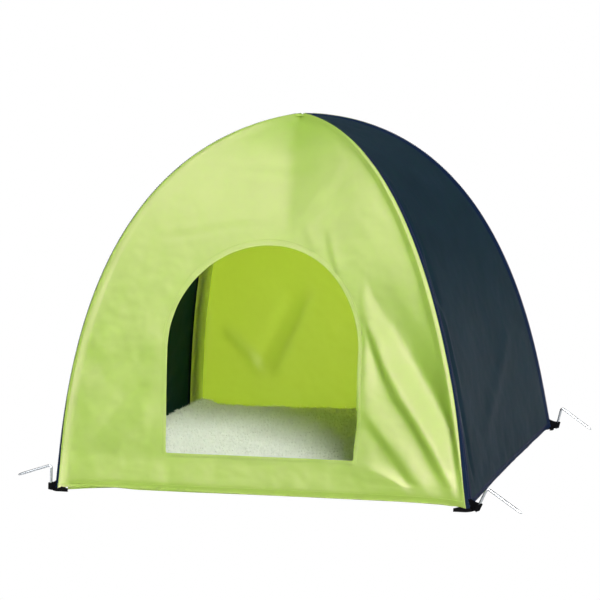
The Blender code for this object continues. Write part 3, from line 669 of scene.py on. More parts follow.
RIGHT_FOLDS = [
    fold(3.5, 5, [(-96, 410), (-120, 370), (-146, 320), (-160, 290)]),
    fold(-3.0, 6, [(-118, 350), (-146, 290), (-163, 235)]),
    fold(2.5, 8, [(-166, 250), (-178, 190), (-188, 130)]),
    fold(-3.0, 5, [(-176, 230), (-188, 160), (-192, 90), (-192, 20)]),
    fold(2.0, 16, [(140, 180), (0, 110), (-120, 60)]),
]
LEFT_FOLDS = [
    fold(2.8, 10, [(60, 190), (120, 130), (180, 60)]),
    fold(-2.8, 10, [(30, 160), (90, 110), (150, 40)]),
    fold(2.4, 12, [(-180, 90), (-100, 60), (0, 40)]),
    fold(2.0, 14, [(-90, 330), (-40, 250), (-10, 180)]),
]
FOLDS = {"front": FRONT_FOLDS, "back": BACK_FOLDS, "right": RIGHT_FOLDS, "left": LEFT_FOLDS}
SAGS = {"front": 10, "back": 7, "left": 8, "right": 8}  # of the middle of a wall, in mm
SEEDS = {"front": 1, "back": 2, "left": 3, "right": 4}


def pleats(u, z, half):
    """How far the pleats stand out, in metres: even slopes from each crest to the next trough."""

    def at(line, column):
        rows = np.array(line[::-1], float)
        return np.interp(z / MM, rows[:, 0], rows[:, column]) * MM

    shift = 6 * MM * smoothstep((0.26 - z) / 0.06)
    start = at(PLEAT_START, 1)
    ramp = np.interp(z / MM, [45, 60], [32, 12]) * MM
    places, stand = [start - ramp, start], [0 * z, at(PLEAT_START, 2)]
    for line in PLEATS:
        own = np.minimum(at(line, 1) + shift, half - 4 * MM)
        place = np.maximum(own, places[-1] + 0.5 * MM)
        reached = smoothstep((own - places[-1]) / (13 * MM))
        places.append(place)
        stand.append(stand[-1] + (at(line, 2) - stand[-1]) * reached)
    places.append(np.maximum(half, places[-1] + 4 * MM))
    stand.append(0 * z)
    total = 0 * z
    for k in range(1, len(places)):
        step = smoothstep((u - places[k - 1]) / (places[k] - places[k - 1]))
        total += (stand[k] - stand[k - 1]) * step
    rise, fall = smoothstep((z - 12 * MM) / (14 * MM)), smoothstep((312 * MM - z) / (95 * MM))
    return 1.3 * total * rise * fall


def near_line(u, z, line):
    """Distance from a line of points, the share of its length at the nearest place, and
    whether the point lies to the left of the way down it."""
    line = line * MM
    steps = np.linalg.norm(np.diff(line, axis=0), axis=1)
    total, done = steps.sum(), 0.0
    best = np.full(u.shape, 1e9)
    share = np.zeros(u.shape)
    left = np.zeros(u.shape, bool)
    for p, q, step in zip(line, line[1:], steps):
        d = q - p
        s = np.clip(((u - p[0]) * d[0] + (z - p[1]) * d[1]) / (step * step), 0, 1)
        away = np.hypot(u - p[0] - s * d[0], z - p[1] - s * d[1])
        closer = away < best
        share = np.where(closer, (done + s * step) / total, share)
        left = np.where(closer, d[0] * (z - p[1]) - d[1] * (u - p[0]) < 0, left)
        best = np.minimum(best, away)
        done += step
    return best, share, left


def crumple(points, seed, size, detail=3):
    """Smooth noise from -1 to 1 at points in metres."""
    shift = Vector((seed * 3.17, seed * 1.31, seed * 2.71))
    return np.array(
        [noise.fractal(Vector(p) / size + shift, 0.7, 2.0, detail) for p in points.tolist()]
    )


def relief(face, a, t, point):
    """How far the cloth stands off its undisturbed place, outward, in metres."""
    u, z = point[..., 0], point[..., 2]
    front = face == "front"
    half = half_width(face, t)
    inside = np.clip(FLAT - np.abs(a), 0, 1) / FLAT * half
    free = smoothstep(inside / 0.022)
    narrow = smoothstep(half / 0.06)
    # Towards the crown the front hangs as two flat halves.
    power = np.interp(z, [0.25, 0.38], [2, 1.45]) if front else 2
    middle = 1 - np.clip(np.abs(a) / FLAT, 0, 1) ** power
    crown = 1.25 if front else 0.7
    level = np.interp(z, [0, 0.10, 0.30, 0.42, 0.455, 0.47], [0.5, 0.9, 1.0, crown, 0.7, 0.3])
    move = -(SAGS[face] * MM) * middle * level
    # The cloth stands proud over the edge of each pole's channel and dips beside it.
    proud = np.interp(z, [0.15, 0.25], [0.2, 0.7]) * MM if front else 0.3 * MM
    move += proud * np.exp(-(((inside - 3.8 * MM) / (2.4 * MM)) ** 2)) * narrow
    dip = 1.6 if face == "back" else 1.2
    if front:
        dip_left = np.interp(z, [0, 0.15, 0.28, 0.4], [2.0, 1.6, 0.6, 0.2])
        dip_right = np.interp(z, [0, 0.10, 0.2, 0.40, 0.45], [1.0, 1.5, 2.6, 2.8, 1.5])
        dip = np.where(a > 0, dip_right, dip_left)
    groove = inside / (11 * MM)
    move -= dip * MM * groove * np.exp(1 - groove) * narrow
    for height, width, line, crisp, ends in FOLDS[face]:
        away, share, left = near_line(u, z, line)
        reach = np.where(left, width[0], width[1]) * MM
        tall = (height[0] + (height[1] - height[0]) * share) * MM
        fade = smoothstep(share / ends[0]) * smoothstep((1 - share) / ends[1])
        move += tall * np.exp(-((away / reach) ** crisp)) * fade * free
    if front:
        # A crease runs from the apex down to the arch, where the two halves meet.
        line = np.interp(z, [0.32, 0.373, 0.407, 0.449, 0.471], [0.027, 0.021, 0.018, 0.010, 0.0])
        high = smoothstep((z - 0.318) / 0.06)
        move -= 4.2 * MM * np.exp(-np.abs(u - line) / 0.034) * high * free
        move += pleats(u, z, half) * smoothstep(inside / (8 * MM))
    flat = np.stack([u, arc_length(face, t), 0 * u], -1)
    move += 0.9 * MM * crumple(flat, SEEDS[face], 0.075) * free
    move += 0.3 * MM * crumple(flat, SEEDS[face] + 9, 0.018, 2) * free
    # The hem is drawn in.
    low = z - hem_height(face, np.clip(np.abs(a), 0, 1))
    move -= 2.6 * MM * np.exp(-((np.clip(low, 0, 1) / (6 * MM)) ** 2)) * free
    return move


def drape(face, a, t, lift=0.0):
    """World points of the finished cloth, lifted off it, with normals and local points."""
    a, t = np.broadcast_arrays(np.asarray(a, float), np.asarray(t, float))
    point, normal = local_point(face, a, t)
    move = relief(face, a, t, point) + lift
    return settle(to_world(face, point + move[..., None] * normal)), to_world(face, normal), point


SILL_SHARE = 0.24  # share of the points round the doorway that lie on half of its sill
APEX_SHARE = 0.975  # from here on a panel's points lie along its cut tip


def doorway(s):
    """(x, z) round the doorway: s runs from the middle of the sill to the right, over and back."""
    s = np.asarray(s, float)
    right = s <= 0.5
    q = np.where(right, s, 1 - s) * 2
    flat = DOOR_HALF - DOOR_CORNER
    post = DOOR_SPRING - DOOR_SILL - DOOR_CORNER
    lengths = [flat, DOOR_CORNER * math.pi / 2, post, DOOR_HALF * math.pi / 2]
    beyond = lengths[0] + (q - SILL_SHARE) / (1 - SILL_SHARE) * sum(lengths[1:])
    along = np.where(q < SILL_SHARE, q / SILL_SHARE * lengths[0], beyond)
    marks = np.cumsum(lengths)
    x = np.where(along <= marks[0], along, 0)
    z = np.full(s.shape, DOOR_SILL)
    turn = np.clip((along - marks[0]) / DOOR_CORNER, 0, math.pi / 2)
    x = np.where(along > marks[0], flat + DOOR_CORNER * np.sin(turn), x)
    z = np.where(along > marks[0], DOOR_SILL + DOOR_CORNER * (1 - np.cos(turn)), z)
    z = np.where(along > marks[1], DOOR_SILL + DOOR_CORNER + along - marks[1], z)
    over = np.clip((along - marks[2]) / DOOR_HALF, 0, math.pi / 2)
    x = np.where(along > marks[2], DOOR_HALF * np.cos(over), x)
    z = np.where(along > marks[2], DOOR_SPRING + DOOR_HALF * np.sin(over), z)
    # The arch is cut a little higher than it hangs, because the cloth sags inward there.
    z = z + 2.3 * MM * smoothstep((z - 0.20) / 0.10)
    # The right side is drawn in near the sill by the pull of the corner.
    pulled = 4.5 * MM * smoothstep((0.105 - z) / 0.045) * smoothstep(x / 0.12)
    return np.where(right, x - pulled, -x) + DOOR_SHIFT, z


def frame_line(face, s, inset):
    """Panel coordinates round the whole panel, matched to the doorway's points."""
    right = s <= 0.5
    q = np.where(right, s, 1 - s) * 2
    half = 1 - inset * (1 - FLAT) / 2
    a = np.where(q < SILL_SHARE, q / SILL_SHARE * half, half)
    top = T_TIP - inset * 0.010
    low = hem_t(face, a) + inset * 0.006
    t = low + (top - low) * np.clip((q - SILL_SHARE) / (APEX_SHARE - SILL_SHARE), 0, 1)
    a = np.where(q > APEX_SHARE, half * (1 - q) / 0.025, a)
    return np.where(right, a, -a), t


def cloth_piece(obj, face, a, t, double, material, slot, closed=False):
    """Makes a flat grid a wall's cloth: its form, UVs, double layers with the painted shading
    that is marked as double, and thickness. A closed grid is welded where its ends meet."""
    points, normals, local = drape(face, a, t)
    set_points(obj, points)
    set_uv(obj, np.stack([local[:, 0], arc_length(face, t)], -1))
    set_double_and_painted_shading(obj, double)
    if closed:
        weld(obj)
        co = points_of(obj)
        normals = co - np.array([0, 0, co[:, 2].mean()])
    thicken(obj, CLOTH * 0.9, normals)
    return place(obj, "tent", material, slot, face + "_panel")


def hem_and_seam(face, a, t):
    """1 where the hem is folded double, and 0.3 where the cloth lies over the poles."""
    z = local_point(face, a, t)[0][..., 2]
    low = smoothstep((hem_height(face, a) + 8.5 * MM - z) / (1 * MM))
    seam = smoothstep((np.abs(a) - FLAT) / (1 - FLAT) * 2)
    return np.maximum(low, 0.3 * seam)


def cut(face, opening=0.0):
    """Width and length that a wall's cloth was cut to, with its seam and hem allowances, and
    its area without the opening."""
    seam, hem = 12 * MM, 20 * MM
    t = np.linspace(0, T_TIP, 300)
    half = local_point(face, 1 + 0 * t, t)[0][:, 0]
    length = arc_length(face, t)
    area = np.sum((half[1:] + half[:-1]) * np.diff(length)) - opening
    area += 2 * seam * length[-1] + 2 * half[0] * hem
    return dict(flat=(2 * half[0] + 2 * seam, length[-1] + seam + hem), area=area)


def front_panel():
    """Rings of points run from the doorway out to the seams and the hem."""
    obj, s, r = new_grid("front_cloth", 520, 52)
    x, z = doorway(s)
    door = to_panel("front", x, z)
    inner = frame_line("front", s, 2.0)
    edge = frame_line("front", s, 2.0 * np.clip((1 - r) / 0.18, 0, 1))
    share = np.clip(r / 0.82, 0, 1) ** 1.15
    main = r <= 0.82
    a, t = (np.where(main, d + (i - d) * share, e) for d, i, e in zip(door, inner, edge))
    point = local_point("front", a, t)[0]
    from_door = np.hypot(point[:, 0] - x, point[:, 2] - z)
    round_door = 0.3 * smoothstep((6.0 * MM - from_door) / (1 * MM))
    # Painted shading: under the doorway the single cloth is marked as double, which darkens its dye
    # and takes its light from the front rather than through it, standing in for the floor cloth's
    # border and the mat that keep the light from coming through.
    painted_shading_under_door = 0.6 * smoothstep((60 * MM - point[:, 2]) / (22 * MM))
    double = np.maximum(np.maximum(hem_and_seam("front", a, t), round_door), painted_shading_under_door)
    return cloth_piece(obj, "front", a, t, double, LIME, "lime_cloth", closed=True)


def across(s, edge=0.06):
    """Spreads a grid's columns so that the wrap round each pole has enough of them."""
    return np.interp(s, [0, edge, 1 - edge, 1], [-1, -FLAT, FLAT, 1])


def plain_panel(face, material, slot):
    obj, s, r = new_grid(face + "_cloth", 190, 190)
    a = across(s)
    low = hem_t(face, a)
    t = low + (T_TIP - low) * r**1.08
    double = hem_and_seam(face, a, t)
    u, z = local_point(face, a, t)[0][:, [0, 2]].T
    if face == "back":
        # Painted shade: along its creases the single cloth is marked as double, which darkens the dye and lets less
        # light through.
        for height, width, line, *_ in BACK_FOLDS:
            if height[0] < 0:
                away, share, _ = near_line(u, z, line)
                fade = smoothstep(share / 0.25) * smoothstep((1 - share) / 0.2)
                painted_crease_shade = 0.16 * fade * np.exp(-((away / (width[0] * MM)) ** 2))
                double = np.maximum(double, painted_crease_shade)
    else:
        # The pole sleeves back a strip along both seams, marked as double. Its darker, bluer doubled
        # navy is also painted shade, for the band where the cloth turns away from the light beside each seam.
        strip = np.interp(z, [0.37, 0.443, 0.47], [0.012, 0.010, 0.008])
        inside = (FLAT - np.clip(np.abs(a), 0, FLAT)) / FLAT * half_width(face, t)
        double = np.maximum(double, smoothstep((strip - inside) / (4 * MM)))
    return cloth_piece(obj, face, a, t, double, material, slot)


def door_hem():
    """The doorway's bound edge: a narrow tape folded over it, front and back."""
    obj, s, r = new_grid("door_hem", 420, 16)
    x, z = doorway(s)
    ahead, behind = doorway((s + 0.002) % 1), doorway((s - 0.002) % 1)
    along = unit(np.stack([ahead[0] - behind[0], ahead[1] - behind[1]], -1))
    # Round the section: the outer face, the fold over the edge, the inner face.
    width, thick = 3.8 * MM, 0.06 * MM
    turn = np.interp(r, [0.3, 0.7], [0, math.pi])
    reach = np.where(r < 0.3, (0.3 - r) / 0.3, np.where(r > 0.7, (r - 0.7) / 0.3, 0)) * width
    away = reach - 0.4 * MM * np.sin(turn)
    a, t = to_panel("front", x + along[:, 1] * away, z - along[:, 0] * away)
    flat = np.interp(r, [0, 0.06, 0.94, 1], [0.15, 1, 1, 0.15])
    level = (CLOTH / 2 + thick * flat) * np.cos(turn) - CLOTH / 2
    points, normals, _ = drape("front", a, t)
    set_points(obj, points + normals * level[:, None])
    set_uv(obj, np.stack([s * 0.9, reach + r * 0.002], -1))
    set_double_and_painted_shading(obj, np.full(len(s), 0.25))
    weld(obj)
    thicken_both(obj, 0.0002, 60)
    return place(obj, "tent", TAPE, "door_tape", "door_binding")


def ground_sheet():
    """Floor cloth: flat in the middle, rising to the hems, with a border sewn up inside them."""
    obj, s, r = new_grid("floor_cloth", 384, 44)
    side = np.minimum((s * 4).astype(int), 3)
    a = (s * 4 - side - 0.5) * 2 * 0.90
    foot, top = np.empty((len(s), 3)), np.empty((len(s), 3))
    for index, face in enumerate(FACES):
        here = side == index
        low = hem_t(face, a[here])
        up = t_at_height(face, a[here], hem_height(face, a[here]) + 7 * MM)
        foot[here] = drape(face, a[here], low, -CLOTH - 0.5 * MM)[0]
        top[here] = drape(face, a[here], up, -CLOTH - 0.5 * MM)[0]
    flat = foot * [1, 1, 0]
    reach = np.linalg.norm(flat, axis=1)
    rest, slope = 0.9 * MM, 36 * MM
    # Out to the slope's start, up the slope and up the border
    out = np.interp(r, [0, 0.5, 0.88, 1], [0, 1, 2, 3])
    sloped = 1 - slope / reach * (2 - np.clip(out, 1, 2))
    spot = flat * np.where(out < 1, out * (1 - slope / reach), sloped)[:, None]
    spot[:, 2] = rest + (foot[:, 2] - rest) * np.clip(out - 1, 0, 1) ** 1.15
    spot = np.where((out > 2)[:, None], foot + (top - foot) * (out - 2)[:, None], spot)
    rumple = crumple(spot * [1, 1, 0], 21, 0.05) * 0.5 * MM + 0.3 * MM
    spot[:, 2] += np.clip(rumple, 0, 1) * smoothstep((1.6 - out) / 0.3)
    set_points(obj, spot)
    set_uv(obj, spot[:, :2])
    set_double_and_painted_shading(obj, np.zeros(len(s)))
    weld(obj, 1e-5)
    thicken(obj, CLOTH, [0, 0, 1.0])
    return place(obj, "tent", LIME, "lime_cloth", "ground_sheet")


def corner(end, side):
    """A corner's side of its end wall, the sign of its x, and its webbing loop's heading."""
    sx, sy = (1 if side == "right" else -1), (1 if end == "back" else -1)
    heading = np.array([sx * math.cos(LOOP_HEADING), sy * math.sin(LOOP_HEADING), 0])
    return -sx * sy, sx, heading


def channel(end, side):
    """A pole's channel: lime cloth from the seam round the pole and back to the end wall."""
    obj, s, r = new_grid(f"channel_{end}_{side}", 26, 90)
    way = corner(end, side)[0]
    foot = float(t_at_height(end, 0, np.array([0.012]), 0.0, 1.0)[0])
    t = foot + (t_at_x(0.050) - foot) * r
    middle, own, other = corner_frame(end, t, POLE_IN)
    turn = np.radians(np.interp(s, [0, 0.55], [-25, 105]))[:, None]
    round_pole = middle + 4.4 * MM * (np.cos(turn) * other - np.sin(turn) * own)
    wide = np.interp(local_point(end, 0, t)[0][..., 2], [0.30, 0.44], [16, 13]) * MM
    wide += LEFT_CLOTH_OUT if side == "left" else 0
    reach = half_width(end, t) + SEAM_RADIUS
    a = way * FLAT * np.clip(reach - wide, 0, 1) / (reach - SEAM_RADIUS)
    point, normal = local_point(end, a, t)
    landing = point + (relief(end, a, t, point) - 1.1 * MM)[:, None] * normal
    landing[:, 0] *= way
    share = np.clip((s - 0.55) / 0.45, 0, 1)[:, None]
    bulge = 1.0 * MM * np.sin(share * math.pi)
    line = round_pole + (landing - round_pole) * share - own * bulge
    line[:, 0] *= way
    line = to_world(end, line)
    # Its edges go with the walls, its middle stays round the pole.
    follow = np.interp(s, [0, 0.2, 0.55, 0.75, 1], [1, 0.1, 0, 0.4, 1])[:, None]
    set_points(obj, line + (settle(line) - line) * follow)
    set_uv(obj, np.stack([s * 0.028, arc_length(end, t)], -1))
    set_double_and_painted_shading(obj, np.zeros(len(s)))
    thicken_both(obj, 0.0005)
    return place(obj, "tent", LINING, "lime_cloth", f"sleeve_{end}_{side}")


def pole_foot(end, side, z=0.006):
    """Middle of a corner's pole at a height, in the world."""
    t = solve_t(lambda t: corner_frame(end, t, POLE_IN)[0][..., 2], z, -0.05, 0.3)
    middle = corner_frame(end, t, POLE_IN)[0]
    middle[..., 0] *= corner(end, side)[0]
    return to_world(end, middle)


def peg_loop(end, side):
    """Webbing sewn to a corner as a pinched loop on edge, which leans with its peg."""
    obj, s, r = new_grid(f"webbing_loop_{end}_{side}", 72, 8)
    _, sx, heading = corner(end, side)
    # Half of the loop's plan, from the corner out: along the heading and away from it, in mm
    angle = np.radians(np.linspace(128, 0, 14))
    ring = np.stack([LOOP_REACH / MM + 3.3 * np.cos(angle), 3.3 * np.sin(angle)], -1)
    pinch = [(-1.0, 2.6), (2.4, 1.5), (5.5, 0.8), (8.0, 0.95), (10.0, 1.7)]
    half = np.concatenate([pinch, ring])
    plan = np.concatenate([half, half[-2::-1] * [1, -1]]) * MM
    lengths = lengths_along(plan)
    along, away = points_at(s * lengths[-1], lengths, plan).T
    share = np.clip(along / LOOP_REACH, 0, 1.3)
    low, high = 0.4 + 1.8 * smoothstep(share), 15.5 - 5.0 * smoothstep(share)
    z = (low + (high - low) * r) * MM
    lean = sx * PEGS[end, side][0] * (z - 1.2 * MM) * np.clip(share, 0, 1)
    foot = pole_foot(end, side)
    x = foot[0] + heading[0] * along - heading[1] * away + lean
    y = foot[1] + heading[1] * along + heading[0] * away
    set_points(obj, settle(np.stack([x, y, z], -1), LEFT_CORNERS_OUT))
    set_uv(obj, np.stack([s * lengths[-1], z], -1))
    thicken_both(obj, 0.0011)
    return place(obj, "tent", WEBBING, "black_webbing", f"peg_loop_{end}_{side}")


def corner_cup(end, side):
    """Webbing folded under a corner, behind both hems, where the pole's end stands."""
    obj, s, r = new_grid(f"webbing_cup_{end}_{side}", 64, 16)
    way = corner(end, side)[0]
    top = np.interp(s, [0, 0.3, 0.6, 0.8, 1], [3.5, 6, 14, 10, 5]) * MM
    z = top + (0.3 * MM - top) * np.clip(r / 0.7, 0, 1)
    lift = np.interp(z / MM, [0.3, 2.5, 5], [3.6, 1.2, -1.7]) * MM
    inward = np.clip((r - 0.7) / 0.3, 0, 1) * 5.5 * MM
    # Along the end wall's hem to the corner, then along the side wall's
    u_end = np.interp(s, [0, 0.6], [22, 0]) * MM
    u_side = np.interp(s, [0.6, 1], [0, 12]) * MM
    points = np.empty((len(s), 3))
    for here, face, u, toward, half in (
        (s < 0.6, end, u_end, way, WIDTH / 2),
        (s >= 0.6, side, u_side, -way, DEPTH / 2),
    ):
        wrap, flat = 1 - u / SEAM_RADIUS * (1 - FLAT), FLAT * (half - u) / (half - SEAM_RADIUS)
        a = toward * np.where(u < SEAM_RADIUS, wrap, flat)
        t = t_at_height(face, a, z, -0.05)
        point, normal = local_point(face, a, t)
        made = settle(to_world(face, point + (lift - inward)[:, None] * normal))
        points[here] = made[here]
    points[:, 2] = np.maximum(points[:, 2], 0.25 * MM)
    set_points(obj, points)
    set_uv(obj, np.stack([s * 0.029, r * 0.02], -1))
    apply_modifier(obj, "SOLIDIFY", thickness=0.0009, offset=0.0)
    recalculate(obj)
    co = points_of(obj)
    co[:, 2] = np.maximum(co[:, 2], 0.1 * MM)
    set_points(obj, co)
    smooth(obj, 60)
    return place(obj, "tent", WEBBING, "black_webbing", f"pocket_{end}_{side}")


def peg(end, side):
    """Bent wire: a leg down through the loop, a tight bend and a shank with a worn tip."""
    rings = 64
    obj, s, r = new_grid(f"wire_peg_{end}_{side}", 20, rings)
    _, sx, heading = corner(end, side)
    lean, high, reach, low = PEGS[end, side]
    base = pole_foot(end, side) * [1, 1, 0] + heading * LOOP_REACH
    foot = base + [sx * lean * (0.6 - 1.2) * MM, 0, 0.6 * MM]
    bend = base + [sx * lean * (high - 1.2 * MM), 0, high]
    tip = np.array([bend[0] + sx * reach, bend[1], low])
    up, out = unit(bend - foot), unit(tip - bend)
    start, end_bend = bend - 5 * MM * up, bend + 5 * MM * out
    q = np.linspace(0, 1, 14)[1:-1, None]
    curve = (1 - q) ** 2 * start + 2 * q * (1 - q) * bend + q * q * end_bend
    leg = [foot, foot + 0.5 * MM * up, foot + 1.2 * MM * up, start]
    shank = [end_bend] + [tip - k * MM * out for k in (8, 4, 2, 0.8, 0)]
    line = np.concatenate([leg, curve, shank])
    thick = [0.55, 0.9, 1.0, 1.0] + [1.0] * 13 + [1.0, 0.9, 0.72, 0.52, 0.3]
    lengths = lengths_along(line)
    # Rings crowd at the foot, the bend and the tip, as the line's points do.
    index = np.round(r * rings).astype(int)
    marks = np.interp(np.linspace(0, 1, rings + 1), np.linspace(0, 1, len(line)), lengths)
    middle = points_at(marks, lengths, line)
    flat = unit(np.cross(up, out))
    upper = unit(np.cross(unit(np.gradient(middle, axis=0)), flat))
    radius = PEG_RADIUS * np.interp(marks, lengths, thick)
    angle = (s * 2 * math.pi)[:, None]
    points = middle[index] + radius[index, None] * (
        np.cos(angle) * flat + np.sin(angle) * upper[index]
    )
    set_points(obj, settle(points, LEFT_CORNERS_OUT))
    set_uv(obj, np.stack([s * 2 * math.pi * PEG_RADIUS, marks[index]], -1))
    weld(obj)
    # Both ends are closed.
    bpy.ops.object.mode_set(mode="EDIT")
    bpy.ops.mesh.select_mode(type="EDGE")
    bpy.ops.mesh.select_all(action="DESELECT")
    bpy.ops.mesh.select_non_manifold()
    bpy.ops.mesh.edge_face_add()
    bpy.ops.object.mode_set(mode="OBJECT")
    recalculate(obj)
    smooth(obj, 60)
    return place(obj, f"peg_{end}_{side}", WIRE, "peg_wire", f"peg_{end}_{side}")


def stitch_row(name, line, pitch, length, radius, material):
    """Thread stitches along a draped line: one small bead of thread, copied along it."""
    points, normals, _ = line
    lengths = lengths_along(points)
    count = int(lengths[-1] / pitch)
    at = (np.arange(count) + 0.5) * pitch
    spot = points_at(at, lengths, points)
    up = unit(points_at(at, lengths, normals))
    along = unit(points_at(at + 0.0008, lengths, points) - spot)
    side = unit(np.cross(up, along))
    deselect()
    bpy.ops.mesh.primitive_uv_sphere_add(segments=6, ring_count=4, radius=1)
    bead = bpy.context.active_object
    shape = points_of(bead)[:, [2, 0, 1]] * [length / 2, radius, radius]
    # Each end dips into the cloth.
    shape[:, 2] += radius * (0.6 - 1.1 * (shape[:, 0] / (length / 2)) ** 2)
    faces = [tuple(face.vertices) for face in bead.data.polygons]
    bpy.data.objects.remove(bead)
    beads = spot[:, None] + shape @ np.stack([along, side, up], 1)
    obj = from_parts(name, beads, faces)
    recalculate(obj)
    smooth(obj)
    place(obj, "tent", material)


def stitching():
    """Stitches round the doorway, along the hems and beside the seams."""
    x, z = doorway(np.linspace(0, 1, 900))
    out = 5.0 * MM
    wide, tall = 1 + out / DOOR_HALF, 1 + out / 0.135
    middle = (DOOR_SILL + DOOR_SPRING) / 2
    a, t = to_panel("front", (x - DOOR_SHIFT) * wide + DOOR_SHIFT, middle + (z - middle) * tall)
    line = drape("front", a, t, 1.0 * MM)
    stitch_row("stitches_door", line, 2.6 * MM, 2.0 * MM, 0.28 * MM, LIME_THREAD)
    for face, thread in zip(
        ("front", "back", "left", "right"), (LIME_THREAD, LIME_THREAD, NAVY_THREAD, NAVY_THREAD)
    ):
        a = np.linspace(-0.985, 0.985, 500)
        line = drape(face, a, t_at_height(face, a, hem_height(face, a) + 7.4 * MM), 0.25 * MM)
        stitch_row(f"stitches_{face}_hem", line, 3.0 * MM, 2.3 * MM, 0.26 * MM, thread)
        t = np.linspace(0.03, 0.985, 500)
        for side, sign in (("a", -1), ("b", 1)):
            line = drape(face, sign * (FLAT + 0.03), t, 0.25 * MM)
            name = f"stitches_{face}_seam_{side}"
            stitch_row(name, line, 3.0 * MM, 2.3 * MM, 0.24 * MM, thread)


# The mat


def bevel_edges(obj, chosen, offset, segments):
    """Rounds the edges whose rise the test picks."""
    for edge in obj.data.edges:
        p, q = (obj.data.vertices[i].co for i in edge.vertices)
        edge.select = chosen(abs(p.z - q.z))
    bpy.ops.object.mode_set(mode="EDIT")
    bpy.ops.mesh.bevel(offset=offset, segments=segments)
    bpy.ops.object.mode_set(mode="OBJECT")


def mat():
    """The pad with its pile, and the backing, which it returns."""
    deselect()
    bpy.ops.mesh.primitive_cube_add(size=1)
    obj = bpy.context.active_object
    obj.name = obj.data.name = "mat_pad"
    half_x, half_y, low, high = 0.264, 0.218, 0.0052, 0.0235
    size = [2 * half_x, 2 * half_y, high - low]
    set_points(obj, (points_of(obj) * size) + [0, 0, (low + high) / 2])
    activate(obj)
    bpy.ops.object.mode_set(mode="EDIT")
    bpy.ops.mesh.select_mode(type="EDGE")
    bpy.ops.mesh.select_all(action="DESELECT")
    bpy.ops.object.mode_set(mode="OBJECT")
    bevel_edges(obj, lambda rise: rise > 1e-4, 0.030, 8)
    bevel_edges(obj, lambda rise: rise < 1e-5, 0.006, 3)
    apply_modifier(obj, "REMESH", mode="VOXEL", voxel_size=0.005)
    apply_modifier(obj, "SMOOTH", factor=0.5, iterations=4)
    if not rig.quick():
        inflate(obj, 3.2 * MM)
    co = points_of(obj)
    co[:, 2] = np.maximum(co[:, 2], 0.0042)
    set_points(obj, co)
    apply_modifier(obj, "SUBSURF", levels=1, render_levels=1)
    co = points_of(obj)
    top = smoothstep((co[:, 2] - 0.012) / 0.008)
    lumps = crumple(co, 31, 0.045) * 2.0 * MM + crumple(co, 32, 0.010, 2) * 1.3 * MM
    co[:, 2] += top * lumps
    # The left border rides up the wall.
    left = smoothstep((-co[:, 0] - 0.215) / 0.045)
    co[:, 2] += 10 * MM * left * smoothstep((co[:, 2] - 0.008) / 0.012)
    edge = np.maximum(np.abs(co[:, 0]) - half_x + 0.02, np.abs(co[:, 1]) - half_y + 0.02) > 0
    ripple = crumple(co, 33, 0.014, 2) * 1.0 * MM * edge
    co += unit(co * [1, 1, 0] + 1e-9) * ripple[:, None]
    set_points(obj, co)
    smooth(obj)
    place(obj, "mat", PLUSH, "plush", "mat_cover", "mat_filling")
    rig.padded(obj, fill=0.5)
    pile(obj)
    return mat_base()


def inflate(obj, cap):
    """Blows the pad up a little with cloth pressure, each point by the cap at most."""
    start = points_of(obj)
    activate(obj)
    made = obj.modifiers.new("Cloth", "CLOTH")
    made.settings.use_pressure = True
    made.settings.uniform_pressure_force = 4.0
    made.settings.quality = 4
    made.settings.effector_weights.gravity = 0.0
    scene = bpy.context.scene
    for step in range(1, 21):
        scene.frame_set(step)
    bpy.ops.object.modifier_apply(modifier=made.name)
    scene.frame_set(1)
    moved = points_of(obj) - start
    length = np.linalg.norm(moved, axis=1, keepdims=True)
    set_points(obj, start + moved * np.minimum(1, cap / np.maximum(length, 1e-9)))


def pile(pad):
    """Tufts of pile all over the top and sides of the mat."""
    rng = np.random.default_rng(7)
    pad.data.calc_loop_triangles()
    tris = np.empty(len(pad.data.loop_triangles) * 3, np.int32)
    pad.data.loop_triangles.foreach_get("vertices", tris)
    tris = tris.reshape(-1, 3)
    co = points_of(pad)
    p, q, r = (co[tris[:, k]] for k in range(3))
    cross = np.cross(q - p, r - p)
    area = np.linalg.norm(cross, axis=1)
    normal = cross / np.maximum(area[:, None], 1e-12)
    area = area * (normal[:, 2] > -0.35)
    count = 20000
    pick = rng.choice(len(tris), count, p=area / area.sum())
    m, n = rng.random(count), rng.random(count)
    over = m + n > 1
    m, n = np.where(over, 1 - m, m), np.where(over, 1 - n, n)
    root = p[pick] + m[:, None] * (q - p)[pick] + n[:, None] * (r - p)[pick]
    up = unit(normal[pick] + 0.45 * rng.normal(size=(count, 3)) * [1, 1, 0.3])
    drift = [crumple(root, 41, 0.03, 2), crumple(root, 42, 0.03, 2), 0 * m]
    lean = unit(np.stack(drift, -1) + 1e-6)
    bend = unit(up + 0.8 * lean + 0.3 * rng.normal(size=(count, 3)))
    length = rng.uniform(2.4, 5.6, count)[:, None] * MM
    width = rng.uniform(0.35, 0.6, count)[:, None] * MM
    side = unit(np.cross(up, rng.normal(size=(count, 3))))
    other = np.cross(up, side)
    root = root - up * 0.6 * MM
    ring = [side, -0.5 * side + 0.866 * other, -0.5 * side - 0.866 * other]
    knee = root + up * length * 0.55
    tuft = [root + width * k for k in ring] + [knee + width * 0.8 * k for k in ring]
    tuft.append(knee + bend * length * 0.55)
    faces = []
    for k, j in ((0, 1), (1, 2), (2, 0)):
        faces += [(k, j, 3 + j, 3 + k), (3 + k, 3 + j, 6)]
    obj = from_parts("mat_pile", np.stack(tuft, 1), faces + [(2, 1, 0)])
    smooth(obj)
    place(obj, "mat", PLUSH, "plush")


